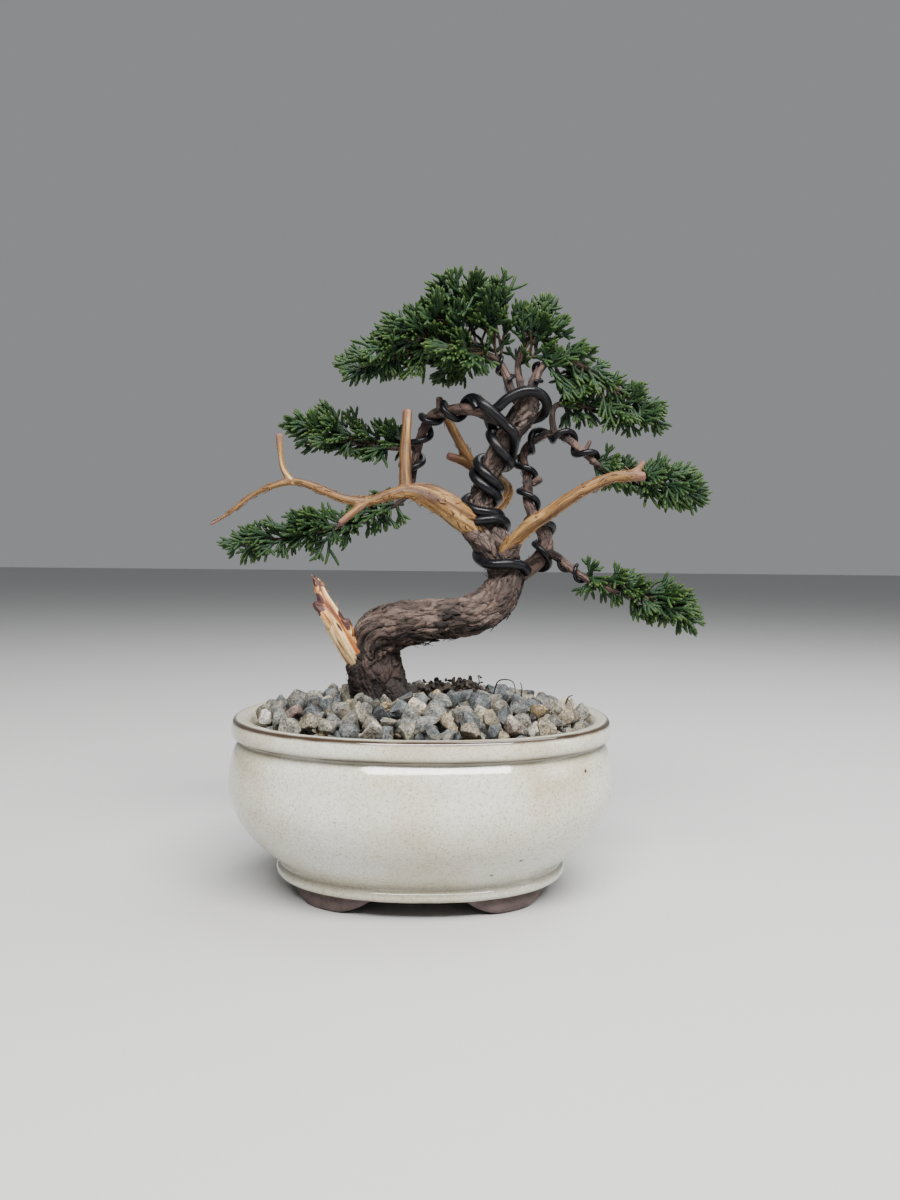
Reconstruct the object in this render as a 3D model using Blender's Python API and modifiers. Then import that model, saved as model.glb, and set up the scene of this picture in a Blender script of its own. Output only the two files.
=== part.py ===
"""A small juniper bonsai in an oval glazed pot, in metres, +Z up, standing on the XY plane.

The pot is one fired piece with four feet and two drain holes. It holds two drain screens, soil and
a bed of gravel. The tree has a bark-covered trunk that leans over in an S, stems and branches, four
stripped dead branches (jins), bent wires that hold its shape, and flat sprays of foliage.
The wood's routes are drawn in tree units from the middle of the pot's rim: x, y, z, radius.
"""

import math

import bmesh
import bpy
import numpy as np
from mathutils import Matrix, Vector, noise

# Where the pot's middle stands, so that the whole object is centred over the origin
POT_X = -0.0127

# Pot
POT_LENGTH = 0.1245
POT_WIDTH = 0.103
POT_HEIGHT = 0.0575
PLAN_POWER = 2.2  # 2 is an ellipse, more is squarer
POT_WALL = 0.005
RIM_BAND = 0.0063
NECK_DEPTH = 0.0022
BELLY_OUT = 0.0010
BASE_IN = 0.0160
FOOT_HEIGHT = 0.0058
FOOT_BAND = 0.0044
FOOT_WIDTH = 0.009
FOOT_FROM, FOOT_TO = math.radians(21), math.radians(59)
FLOOR_THICK = 0.0052
DRAIN_RADIUS = 0.006
FLOOR_ROUND = 0.008  # how far in from the wall the inside's floor is flat
PLAN_POINTS = 32

# What the pot holds
GAP = 0.0003
SCREEN_SIDE = 0.017
SCREEN_CLEAR = 0.00075  # from a screen's outer edge to where the floor starts to round up
DRAIN_SPREAD = POT_LENGTH / 2 - BASE_IN - POT_WALL - FLOOR_ROUND - SCREEN_CLEAR - SCREEN_SIDE / 2
SCREEN_THICK = 0.0008
SCREEN_CELLS = 4
SOIL_BELOW_RIM = 0.0115
GRAVEL_BELOW_RIM = 0.0028
GRAVEL_MOUND = 0.0080
GRAVEL_BUMP = 0.0022
GRAVEL_RINGS = 5

# Tree
TREE_UNIT = 0.001
WIRE = 0.0034
THIN_WIRE = 0.0022
FINE_WIRE = 0.0013
COIL_POINTS = 8
# Where the trunk's wires start along its route, and how they climb, in the tree's own units
WIRE_BEGIN = 111.2
WIRE_PITCH = 12.8
WIRE_SPACING = 6.3
FOLIAGE_SIDES = 12
FOLIAGE_ROWS = 7

BARK = ((0.16, 0.105, 0.085), 0.85, 0.0)
TWIG_BARK = ((0.13, 0.08, 0.06), 0.8, 0.0)
DEADWOOD = ((0.62, 0.38, 0.18), 0.7, 0.0)
ANODISED = ((0.025, 0.024, 0.026), 0.35, 0.9)
GREEN = ((0.05, 0.14, 0.045), 0.6, 0.0)
GLAZE = ((0.74, 0.70, 0.60), 0.15, 0.0)


for old in list(bpy.data.objects):
    bpy.data.objects.remove(old)

bonsai = bpy.data.collections.new("bonsai")
cutters = bpy.data.collections.new("cutters")
bpy.context.scene.collection.children.link(bonsai)
bpy.context.scene.collection.children.link(cutters)

pot_centre = bpy.data.objects.new("pot_centre", None)
pot_centre.location = (POT_X, 0, 0)
bonsai.objects.link(pot_centre)
planting_point = bpy.data.objects.new("planting_point", None)
planting_point.parent = pot_centre
planting_point.location = (0, 0, POT_HEIGHT)
bonsai.objects.link(planting_point)
bpy.context.view_layer.update()


def add_object(name, mesh, parent, finish=None):
    """A piece when it has a finish, and a hidden cutter when it has none."""
    made = bpy.data.objects.new(name, mesh)
    made.parent = parent
    mesh.shade_smooth()
    mesh.set_sharp_from_angle(angle=math.radians(50))
    if finish is None:
        cutters.objects.link(made)
        made.hide_render = True
        made.display_type = "WIRE"
        return made
    bonsai.objects.link(made)
    colour, roughness, metallic = finish
    material = bpy.data.materials.new(name)
    material.use_nodes = True
    shader = material.node_tree.nodes["Principled BSDF"]
    shader.inputs["Base Color"].default_value = (*colour, 1)
    shader.inputs["Roughness"].default_value = roughness
    shader.inputs["Metallic"].default_value = metallic
    mesh.materials.append(material)
    return made


def combine(piece, other, operation):
    boolean = piece.modifiers.new(other.name, "BOOLEAN")
    boolean.operation = operation
    boolean.solver = "EXACT"
    boolean.object = other


def mesh_from(shape, name):
    """A closed mesh from a bmesh, facing out."""
    bmesh.ops.triangulate(shape, faces=shape.faces)
    bmesh.ops.recalc_face_normals(shape, faces=shape.faces)
    if shape.calc_volume(signed=True) < 0:
        bmesh.ops.reverse_faces(shape, faces=shape.faces)
    mesh = bpy.data.meshes.new(name)
    shape.to_mesh(mesh)
    shape.free()
    return mesh


# ---------------------------------------------------------------- the pot

SEAT_Z = FOOT_HEIGHT
WAIST_Z = SEAT_Z + FOOT_BAND
NECK_Z = POT_HEIGHT - RIM_BAND - 0.0009
FLOOR_Z = SEAT_Z + FLOOR_THICK

# How far the outside stands off the rim's plan, against the height from waist (0) to neck (1)
BELLY = [(0.06, 0.84), (0.165, 0.57), (0.33, 0.24), (0.49, 0.06), (0.62, 0.0), (0.77, 0.02), (0.91, 0.08)]


def oval(offset, angle):
    """A point of the pot's plan, moved out from the rim's edge by offset."""
    half_length = POT_LENGTH / 2 + offset
    half_width = POT_WIDTH / 2 + offset
    across = abs(math.cos(angle) / half_length) ** PLAN_POWER
    along = abs(math.sin(angle) / half_width) ** PLAN_POWER
    reach = (across + along) ** (-1 / PLAN_POWER)
    return reach * math.cos(angle), reach * math.sin(angle)


def loft(rings, bump=None):
    """A closed oval solid through rings of (offset, height, share of the plan), capped at both ends."""
    shape = bmesh.new()
    loops = []
    for offset, height, share in rings:
        loop = []
        for i in range(PLAN_POINTS):
            x, y = oval(offset, math.tau * i / PLAN_POINTS)
            x, y = share * x, share * y
            lift = bump(x, y) if bump and share < 1 else 0.0
            loop.append(shape.verts.new((x, y, height + lift)))
        loops.append(loop)
    for lower, upper in zip(loops, loops[1:]):
        for i in range(PLAN_POINTS):
            j = (i + 1) % PLAN_POINTS
            shape.faces.new((lower[i], lower[j], upper[j], upper[i]))
    shape.faces.new(loops[0])
    shape.faces.new(loops[-1])
    return shape


def belly_offset(share):
    """The glazed side between waist and neck: a full round belly drawn in to the foot and the neck."""
    curve = [(0.0, 1.0)] + BELLY + [(1.0, 0.2)]
    shares, drops = zip(*curve)
    return BELLY_OUT - (BASE_IN + BELLY_OUT) * float(np.interp(share, shares, drops))


outer = [
    (-BASE_IN - 0.0012, SEAT_Z),
    (-BASE_IN + 0.0010, SEAT_Z + 0.0007),
    (-BASE_IN + 0.0016, SEAT_Z + FOOT_BAND * 0.5),
    (-BASE_IN + 0.0010, WAIST_Z - 0.0007),
    (-BASE_IN + 0.0003, WAIST_Z),
]
outer += [(belly_offset(share), WAIST_Z + share * (NECK_Z - WAIST_Z)) for share, _ in BELLY]
outer += [
    (-NECK_DEPTH, NECK_Z),
    (-0.0007, POT_HEIGHT - RIM_BAND),
    (0.0, POT_HEIGHT - RIM_BAND * 0.78),
    (0.0, POT_HEIGHT - RIM_BAND * 0.3),
    (-0.0009, POT_HEIGHT - 0.0004),
    (-0.0020, POT_HEIGHT),
]
inner = [(-POT_WALL + 0.0003, POT_HEIGHT - 0.0003), (-POT_WALL - 0.0005, POT_HEIGHT - 0.0014)]
for share in (0.95, 0.77, 0.62, 0.49, 0.33, 0.2):
    height = max(WAIST_Z + share * (NECK_Z - WAIST_Z), FLOOR_Z + 0.004)
    inner.append((belly_offset(share) - POT_WALL, height))
inner.append((-BASE_IN - POT_WALL - FLOOR_ROUND / 2, FLOOR_Z + 0.0008))
inner.append((-BASE_IN - POT_WALL - FLOOR_ROUND, FLOOR_Z))

pot_mesh = mesh_from(loft([(offset, height, 1.0) for offset, height in outer + inner]), "pot")
pot = add_object("pot", pot_mesh, pot_centre, GLAZE)


def foot_mesh(middle):
    """One foot: a length of the base ring whose underside is flat in the middle and rises to both ends."""
    shape = bmesh.new()
    steps = 8
    flat_share = 0.42
    half_turn = (FOOT_TO - FOOT_FROM) / 2
    sections = []
    for i in range(steps + 1):
        t = 2 * i / steps - 1
        angle = middle + t * half_turn
        rise = max(0.0, (abs(t) - flat_share) / (1 - flat_share)) ** 2.2
        bottom = FOOT_HEIGHT * rise
        top = FOOT_HEIGHT + 0.0012
        corners = ((-BASE_IN - 0.0016, bottom), (-BASE_IN - 0.0009, top))
        corners += ((-BASE_IN - FOOT_WIDTH, top), (-BASE_IN - FOOT_WIDTH, bottom))
        sections.append([shape.verts.new((*oval(offset, angle), z)) for offset, z in corners])
    for first, second in zip(sections, sections[1:]):
        for i in range(4):
            j = (i + 1) % 4
            shape.faces.new((first[i], first[j], second[j], second[i]))
    shape.faces.new(sections[0])
    shape.faces.new(sections[-1])
    return mesh_from(shape, "foot")


foot_middle = (FOOT_FROM + FOOT_TO) / 2
for number, middle in enumerate((foot_middle, math.pi - foot_middle, math.pi + foot_middle, -foot_middle)):
    foot = add_object(f"foot_{number}", foot_mesh(middle), pot_centre)
    combine(pot, foot, "UNION")


def drum(name, radius, height, centre, sides):
    shape = bmesh.new()
    bmesh.ops.create_cone(
        shape,
        cap_ends=True,
        segments=sides,
        radius1=radius,
        radius2=radius,
        depth=height,
        matrix=Matrix.Translation(centre),
    )
    return add_object(name, mesh_from(shape, name), pot_centre)


def plate(name, side, height, centre):
    shape = bmesh.new()
    size = Matrix.Diagonal((side, side, height, 1))
    bmesh.ops.create_cube(shape, size=1, matrix=Matrix.Translation(centre) @ size)
    return add_object(name, mesh_from(shape, name), pot_centre)


# ---------------------------------------------------------------- what the pot holds


def inner_offset(height):
    """The plan offset of the pot's inside face at a height."""
    offsets, heights = zip(*sorted(inner, key=lambda point: point[1]))
    return float(np.interp(height, heights, offsets))


def filling(low, high, rings):
    """Rings that fit the pot's inside from low to high, with the clearance kept all round."""
    heights = [low + (high - low) * i / rings for i in range(rings + 1)]
    heights += [height for _, height in inner if low < height < high]
    return [(inner_offset(height) - 2 * GAP, height, 1.0) for height in sorted(heights)]


soil_top = POT_HEIGHT - SOIL_BELOW_RIM
soil_mesh = mesh_from(loft(filling(FLOOR_Z + GAP, soil_top, 4)), "soil")
soil = add_object("soil", soil_mesh, pot_centre, ((0.06, 0.042, 0.03), 0.95, 0.0))

for side, name in ((-1, "left"), (1, "right")):
    centre = Vector((side * DRAIN_SPREAD, 0, SEAT_Z))
    combine(pot, drum(f"drain_{name}", DRAIN_RADIUS, 4 * FLOOR_THICK, centre, 20), "DIFFERENCE")
    grid = bmesh.new()
    screen_z = FLOOR_Z + GAP + SCREEN_THICK / 2
    bmesh.ops.create_grid(
        grid,
        x_segments=SCREEN_CELLS,
        y_segments=SCREEN_CELLS,
        size=SCREEN_SIDE / 2,
        matrix=Matrix.Translation((centre.x, centre.y, screen_z)),
    )
    screen_mesh = mesh_from(grid, name)
    screen = add_object(f"drain_screen_{name}", screen_mesh, pot_centre, ((0.05, 0.12, 0.06), 0.5, 0.0))
    lattice = screen.modifiers.new("lattice", "WIREFRAME")
    lattice.thickness = SCREEN_THICK
    lattice.use_even_offset = False
    lattice.use_boundary = True
    pocket_side = SCREEN_SIDE + SCREEN_THICK + 2 * GAP
    pocket_height = 2 * (SCREEN_THICK + 2 * GAP)
    pocket = plate(f"screen_pocket_{name}", pocket_side, pocket_height, (centre.x, centre.y, FLOOR_Z))
    combine(soil, pocket, "DIFFERENCE")


def pebbled(x, y):
    """The rough top of the gravel."""
    return GRAVEL_BUMP * noise.noise(Vector((x, y, 0.3)) / 0.006)


gravel_low = soil_top + GAP
gravel_edge = POT_HEIGHT - GRAVEL_BELOW_RIM
gravel_rings = filling(gravel_low, gravel_edge, 2)
rim_offset = inner_offset(gravel_edge) - 2 * GAP
for ring in range(GRAVEL_RINGS):
    share = 0.94 - 0.87 * ring / (GRAVEL_RINGS - 1)
    gravel_rings.append((rim_offset, gravel_edge + GRAVEL_MOUND * (1 - share**2.5), share))
gravel_mesh = mesh_from(loft(gravel_rings, pebbled), "gravel_bed")
gravel_bed = add_object("gravel_bed", gravel_mesh, pot_centre, ((0.42, 0.40, 0.37), 0.85, 0.0))

# ---------------------------------------------------------------- limbs


def smooth(route, step):
    """Points about one step apart on the smooth curve through a route's own points, in metres."""
    points = np.array(route, float) * TREE_UNIT
    padded = np.vstack([2 * points[0] - points[1], points, 2 * points[-1] - points[-2]])
    made = []
    for a, b, c, d in zip(padded, padded[1:], padded[2:], padded[3:]):
        count = max(1, round(float(np.linalg.norm((c - b)[:3])) / step))
        for i in range(count):
            t = i / count
            bend = (2 * a - 5 * b + 4 * c - d) * t**2 + (3 * b - a - 3 * c + d) * t**3
            made.append(b + 0.5 * ((c - a) * t + bend))
    made.append(points[-1])
    return np.array(made)


def tube_mesh(name, points, radii, rounding):
    """A round tube through points, closed at both ends: a bevelled curve made a mesh, its caps welded."""
    curve = bpy.data.curves.new(name, "CURVE")
    curve.dimensions = "3D"
    curve.bevel_depth = 1.0
    curve.bevel_resolution = rounding
    curve.use_fill_caps = True
    line = curve.splines.new("POLY")
    line.points.add(len(points) - 1)
    for vertex, point, radius in zip(line.points, points, radii):
        vertex.co = (*point, 1)
        vertex.radius = radius
    drawn = bpy.data.objects.new(name, curve)
    bpy.context.scene.collection.objects.link(drawn)
    graph = bpy.context.evaluated_depsgraph_get()
    mesh = bpy.data.meshes.new_from_object(drawn.evaluated_get(graph))
    bpy.data.objects.remove(drawn)
    bpy.data.curves.remove(curve)
    shape = bmesh.new()
    shape.from_mesh(mesh)
    bpy.data.meshes.remove(mesh)
    bmesh.ops.remove_doubles(shape, verts=shape.verts, dist=0.00001)
    return mesh_from(shape, name)


def limb_mesh(name, route, extra=0.0):
    """A tapering limb of wood along a route, fatter by extra when it clears room for itself."""
    thickest = max(point[3] for point in route) * TREE_UNIT
    points = smooth(route, max(0.0042, 0.6 * thickest))
    rounding = 3 if thickest > 0.005 else 1
    return tube_mesh(name, points[:, :3], points[:, 3] + extra, rounding)


limb_routes = {}


def grow(name, routes, finish):
    """One grown piece: its first route, with the others joined to it."""
    limb_routes[name] = routes
    piece = add_object(name, limb_mesh(name, routes[0]), planting_point, finish)
    for number, route in enumerate(routes[1:]):
        side = add_object(f"{name}_side_{number}", limb_mesh(name, route), planting_point)
        combine(piece, side, "UNION")
    return piece


room = {}


def clear(piece, *names):
    """Cuts room, with the clearance, for each named limb or wire that the piece meets."""
    for name in names:
        if name not in room:
            if name in limb_routes:
                shapes = [limb_mesh(name, route, GAP) for route in limb_routes[name]]
            else:
                points, thick, rounding = wire_paths[name]
                shapes = [tube_mesh(name, points, [thick / 2 + 1.2 * GAP] * len(points), rounding)]
            room[name] = [add_object(f"room_{name}", shape, planting_point) for shape in shapes]
        for cutter in room[name]:
            combine(piece, cutter, "DIFFERENCE")


trunk_route = [
    (-14, 5, -14, 8.6),
    (-14, 5, -4, 9.6),
    (-14, 5, 4, 9.3),
    (-16, 4.5, 12, 9.2),
    (-17, 3.5, 20, 8.4),
    (-15, 2, 26, 8.0),
    (-8, 0, 29.3, 7.6),
    (2.5, -3, 31, 6.8),
    (15, -4, 33, 6.1),
    (23.5, -3, 37.5, 6.0),
    (27.3, -1, 45, 5.7),
    (25.3, 0, 53, 5.5),
    (21.8, 1, 59.5, 5.1),
    (19, 2, 66, 4.2),
    (19.5, 2, 73, 3.6),
    (22, 1, 81, 3.3),
    (25, 0, 88, 3.5),
    (28.6, 0, 94, 3.8),
    (32.6, -1, 100, 4.0),
    (34.2, -2, 104.5, 3.9),
]
root_routes = [
    [(-13, 1, 10, 5), (-7, -1, 4, 3.4), (-2, -2, -1, 2.6), (2, -2, -8, 2)],
    [
        (-13, 6, 6, 5),
        (-6, 7, 5, 3),
        (1, 7, 6.4, 2.0),
        (8, 9, 6.2, 1.8),
        (16, 11, 7.6, 1.8),
        (20, 12, 3, 1.4),
    ],
    [(-16, 5, 4, 6), (-22, 8, -2, 3.6), (-27, 10, -8, 2.2)],
    [(-14, 8, 4, 6), (-13, 15, -2, 3.8), (-11, 20, -8, 2.2)],
]
trunk = grow("trunk", [trunk_route] + root_routes, BARK)

# Dead branches, stripped of their bark

base_jin = grow(
    "base_jin",
    [
        [
            (-21, 1, 17, 3.6),
            (-24.5, -2, 22, 3.5),
            (-28, -4, 28.5, 3.4),
            (-31.5, -5, 36, 2.5),
            (-35.5, -5, 45, 0.9),
        ],
        [(-27, -3.5, 26, 2.6), (-31.5, -6, 32.5, 2.1), (-35, -7, 36.5, 1.1)],
    ],
    DEADWOOD,
)
left_jin = grow(
    "left_jin",
    [
        [
            (22, -1, 57, 4.0),
            (17.5, -3, 61, 4.5),
            (12, -4.5, 65.5, 4.2),
            (6, -6, 69, 3.6),
            (0.5, -8, 71.5, 2.9),
            (-5, -9, 73, 2.4),
            (-10, -10, 72, 1.9),
            (-16, -11, 70, 1.6),
            (-21, -12, 69.5, 1.6),
            (-26, -12.5, 70.5, 1.4),
            (-31, -13, 72.5, 1.3),
            (-37, -14, 74.8, 1.2),
            (-42, -14, 75.5, 1.2),
            (-48.5, -15, 73.5, 1.0),
            (-54.5, -15, 70.5, 0.8),
            (-60.5, -16, 65.5, 0.7),
            (-66.5, -17, 61.5, 0.45),
        ],
        [(-5.5, -9, 72.5, 2.2), (-6, -8, 80, 2.0), (-6, -7, 88, 1.8), (-5.5, -7, 99, 1.5)],
        [(-41, -14, 75, 1.2), (-44, -14, 79, 1.0), (-45, -14, 83.5, 0.9), (-45.5, -14, 90, 1.2)],
        [(-17.5, -11.5, 70, 1.4), (-22.5, -14, 65.5, 1.2), (-26, -15, 62.5, 1.0)],
        [(16, 0, 63, 4.0), (9, 2, 69, 3.6), (3, 1, 73, 3.2), (-3, -5, 74, 2.4)],
    ],
    DEADWOOD,
)
right_jin = grow(
    "right_jin",
    [
        [
            (27, -2.5, 54, 3.0),
            (29.5, -6.5, 57.5, 2.6),
            (35, -11, 63, 2.3),
            (40.5, -13, 66.5, 2.1),
            (49, -17, 72.5, 2.0),
            (58.5, -19, 77, 1.8),
            (64, -20, 77.5, 1.8),
            (68.5, -21, 77.5, 1.5),
        ],
        [(63, -20, 77.5, 1.3), (66.5, -20, 79.5, 1.1), (68.5, -20, 82, 0.7)],
    ],
    DEADWOOD,
)
rear_jin = grow(
    "rear_jin",
    [
        [
            (19.5, 4, 61, 2.6),
            (23, 11, 67, 2.2),
            (27, 14, 71.5, 2.1),
            (28.5, 15, 75.5, 2.1),
            (26, 16, 79, 2.1),
            (22, 16, 80.5, 2.0),
            (17.5, 15, 83, 1.9),
            (14, 14, 88, 1.8),
            (10.5, 13, 94, 1.7),
            (6, 12, 102, 1.4),
        ],
        [(16.5, 15, 83.5, 1.7), (12.5, 14, 85.5, 1.6), (8, 13, 87, 1.4)],
    ],
    DEADWOOD,
)

# Live stems and branches

stem_route = [
    (26.5, -0.5, 42, 3.4),
    (31, 1.5, 46, 3.0),
    (35, 3, 48.5, 2.8),
    (39, 4, 52, 2.7),
    (41, 4, 56.5, 2.6),
    (40, 4, 61.5, 2.3),
    (37, 4, 66, 2.0),
    (35, 6, 71, 1.7),
    (35, 8, 76.5, 1.6),
    (34.5, 9, 81.5, 1.5),
    (33.5, 9.5, 85.5, 1.4),
    (34, 9, 89, 1.3),
    (36.5, 8, 91.5, 1.3),
    (40, 6, 93.5, 1.3),
    (44, 4, 93.7, 1.3),
    (48, 2, 91.5, 1.2),
    (52, 1, 88, 1.1),
    (56, 0, 84.3, 1.0),
    (61, 0, 81, 0.9),
    (68, 0, 78.5, 0.7),
    (79, -1, 76.5, 0.5),
]
second_stem = grow(
    "second_stem",
    [
        stem_route,
        [
            (43.5, 4, 93, 1.2),
            (42.5, 4, 99, 1.0),
            (43.5, 5, 103, 0.9),
            (48, 5, 104, 0.8),
            (57, 5, 102.5, 0.6),
        ],
    ],
    TWIG_BARK,
)
lower_right_route = [
    (40.5, 3.4, 54.6, 1.5),
    (44.5, 0.2, 52.4, 1.4),
    (47, -3, 50, 1.3),
    (50, -6, 47.5, 1.2),
    (54, -9, 44.8, 1.0),
    (59, -11, 42.5, 0.9),
    (66, -14, 40, 0.7),
    (75, -16, 36.5, 0.5),
]
lower_right_branch = grow("lower_right_branch", [lower_right_route], TWIG_BARK)
upper_left_route = [
    (27, -1, 96, 1.8),
    (24, -3.5, 97.2, 2.2),
    (20, -4, 99, 2.1),
    (16, -4, 100.3, 2.0),
    (11.5, -2, 100.6, 1.9),
    (7, 1, 100.2, 1.8),
    (3, 5, 100, 1.7),
    (0.5, 9, 97.5, 1.7),
    (-1.5, 11, 93.5, 1.6),
    (-3, 13, 88.5, 1.5),
    (-4, 14, 82.5, 1.3),
    (-5, 15, 76.5, 1.1),
    (-8, 16, 72, 1.0),
    (-14, 16, 68.5, 0.9),
    (-23, 15, 65, 0.8),
    (-33, 14, 61.5, 0.7),
    (-47, 13, 58, 0.5),
    (-54, 12.5, 57, 0.4),
]
upper_left_branch = grow(
    "upper_left_branch",
    [
        upper_left_route,
        [
            (-1, 10.5, 94, 1.1),
            (-5, 13, 90, 0.9),
            (-10, 14.5, 89.5, 0.8),
            (-20, 14, 90.5, 0.7),
            (-33, 12, 92, 0.5),
        ],
        [(5.5, 2.2, 99.8, 1.5), (4.7, 2.5, 104.8, 1.2)],
        [(20, -4, 99.5, 1.5), (17.5, -4, 104.3, 1.2)],
    ],
    TWIG_BARK,
)
apex_left_route = [
    (31.5, -0.5, 102.5, 1.9),
    (28.5, 0, 107, 1.6),
    (26.5, 1, 113, 1.4),
    (24, 1, 116.8, 1.3),
    (19.5, 2, 119.5, 1.2),
    (12.5, 3, 121, 1.1),
    (4.5, 3, 121.5, 0.9),
    (-4, 2, 119.5, 0.8),
    (-20, 0, 115, 0.5),
]
apex_left_branch = grow("apex_left_branch", [apex_left_route], TWIG_BARK)
apex_mid_twig = grow(
    "apex_mid_twig",
    [
        [
            (32.6, -1.6, 103, 1.5),
            (31.5, 2, 110, 1.2),
            (30.8, 3, 117, 1.0),
            (33, 3, 123, 0.8),
            (37, 2, 131, 0.5),
        ],
    ],
    TWIG_BARK,
)
apex_right_route = [
    (33.2, -1.6, 102, 1.8),
    (35.5, 0.5, 109, 1.6),
    (38, 1, 114.5, 1.4),
    (42, 1, 117.5, 1.2),
    (47, 1, 117.6, 1.0),
    (54, 1, 115, 0.8),
    (61, 0, 110, 0.7),
    (71, -1, 103.5, 0.5),
]
apex_right_branch = grow("apex_right_branch", [apex_right_route], TWIG_BARK)

# ---------------------------------------------------------------- wires

wire_paths = {}


def frames_along(points):
    """At each point of a line, two directions across it that turn as little as they can."""
    tangents = np.gradient(points, axis=0)
    tangents /= np.linalg.norm(tangents, axis=1)[:, None]
    first = np.array([0.0, -1.0, 0.0])
    fronts = []
    for tangent in tangents:
        first = first - tangent * float(first @ tangent)
        first = first / np.linalg.norm(first)
        fronts.append(first)
    fronts = np.array(fronts)
    return fronts, np.cross(tangents, fronts)


def coil_path(route, thick, begin, pitch, turns, begin_angle, hand=1):
    """A wire wound round a limb. It starts a length begin along the route, in the tree's own units."""
    line = smooth(route, 0.0008)
    centre, radius = line[:, :3], line[:, 3]
    fronts, sides = frames_along(centre)
    steps = np.linalg.norm(np.diff(centre, axis=0), axis=1)
    lengths = np.concatenate([[0.0], np.cumsum(steps)])
    points = []
    count = round(turns * COIL_POINTS)
    for i in range(count + 1):
        turn = turns * i / count
        at = (begin + pitch * turn) * TREE_UNIT
        angle = begin_angle + hand * math.tau * turn
        reach = float(np.interp(at, lengths, radius)) + thick / 2 + GAP
        here = [float(np.interp(at, lengths, centre[:, k])) for k in range(3)]
        front = np.array([np.interp(at, lengths, fronts[:, k]) for k in range(3)])
        side = np.array([np.interp(at, lengths, sides[:, k]) for k in range(3)])
        points.append(np.array(here) + reach * (math.cos(angle) * front + math.sin(angle) * side))
    return points


def wind(name, points, thick):
    """A bent wire of one thickness along its points."""
    rounding = 2 if thick == WIRE else 1
    wire_paths[name] = (points, thick, rounding)
    mesh = tube_mesh(name, points, [thick / 2] * len(points), rounding)
    return add_object(name, mesh, planting_point, ANODISED)


trunk_coil = dict(route=trunk_route, thick=WIRE, pitch=WIRE_PITCH, hand=-1)
lower_end, upper_end = math.radians(86), math.radians(62)
upper_begin = WIRE_BEGIN + WIRE_SPACING + WIRE_PITCH * (lower_end - upper_end) / math.tau
lower_coil = coil_path(begin=WIRE_BEGIN, turns=3.1, begin_angle=lower_end, **trunk_coil)
upper_coil = coil_path(begin=upper_begin, turns=2.25, begin_angle=upper_end, **trunk_coil)
wind("trunk_wire_lower", lower_coil, WIRE)
wind("trunk_wire_upper", upper_coil, WIRE)

collar_points = [
    (25, 8.4, 57),
    (21, 7.6, 56),
    (18.2, 4, 54.2),
    (18, -1.5, 52),
    (19.8, -6.2, 50.3),
    (23, -8.4, 49.8),
    (27.5, -8.4, 50),
    (31.8, -6.3, 49.6),
    (34.3, -3.9, 47.4),
]
collar_line = smooth([(*point, 0) for point in collar_points], 0.0016)[:, :3]
wind("collar_wire", collar_line, WIRE)

stem_wire = coil_path(stem_route, THIN_WIRE, 13, 11.8, 6.2, math.radians(200), -1)
wind("stem_wire", stem_wire, THIN_WIRE)
wind("upper_left_wire", coil_path(upper_left_route, THIN_WIRE, 11.8, 10, 4.2, 0.0), THIN_WIRE)
wind("lower_right_wire", coil_path(lower_right_route, FINE_WIRE, 8.5, 7.2, 1.6, 0.0), FINE_WIRE)
wind("apex_left_wire", coil_path(apex_left_route, FINE_WIRE, 8.5, 6.8, 1.6, 0.0), FINE_WIRE)
wind("apex_right_wire", coil_path(apex_right_route, FINE_WIRE, 8.5, 6.8, 0.9, 0.0), FINE_WIRE)

# Each piece is cut clear of what it grows from and of the wires that press on it

trunk_wires = ("trunk_wire_lower", "trunk_wire_upper")
clear(trunk, *wire_paths)
clear(soil, "trunk")
clear(gravel_bed, "trunk")
clear(base_jin, "trunk")
clear(left_jin, "trunk", *trunk_wires)
clear(rear_jin, "trunk", "left_jin", *trunk_wires, "collar_wire")
clear(second_stem, "trunk", "collar_wire", "stem_wire")
clear(right_jin, "trunk", "second_stem", "collar_wire", "stem_wire")
clear(lower_right_branch, "second_stem", "stem_wire", "lower_right_wire")
clear(upper_left_branch, "trunk", "left_jin", "rear_jin", *trunk_wires, "upper_left_wire")
clear(apex_left_branch, "trunk", *trunk_wires, "apex_left_wire")
clear(apex_mid_twig, "trunk", "apex_left_branch", *trunk_wires, "apex_left_wire")
clear(apex_right_branch, "trunk", "apex_mid_twig", *trunk_wires, "apex_right_wire")

# ---------------------------------------------------------------- foliage


def spray_mesh(name, centre, half, lean):
    """A flat lobed pad of foliage: a sphere drawn out, notched along its edge and leaning."""
    shape = bmesh.new()
    bmesh.ops.create_uvsphere(shape, u_segments=FOLIAGE_SIDES, v_segments=FOLIAGE_ROWS, radius=1)
    size = Vector(half) * TREE_UNIT
    turn = Matrix.Rotation(math.radians(lean), 3, "Y")
    middle = Vector(centre) * TREE_UNIT
    for vertex in shape.verts:
        around = math.atan2(vertex.co.y, vertex.co.x)
        notch = 1 - 0.07 * (1 - abs(vertex.co.z)) * math.cos(7 * around)
        drawn = Vector((vertex.co.x * notch, vertex.co.y * notch, vertex.co.z)) * size
        vertex.co = middle + turn @ drawn
    return mesh_from(shape, name)


def spray(name, centre, half, lean, *twigs):
    piece = add_object(name, spray_mesh(name, centre, half, lean), planting_point, GREEN)
    clear(piece, *twigs)


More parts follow.
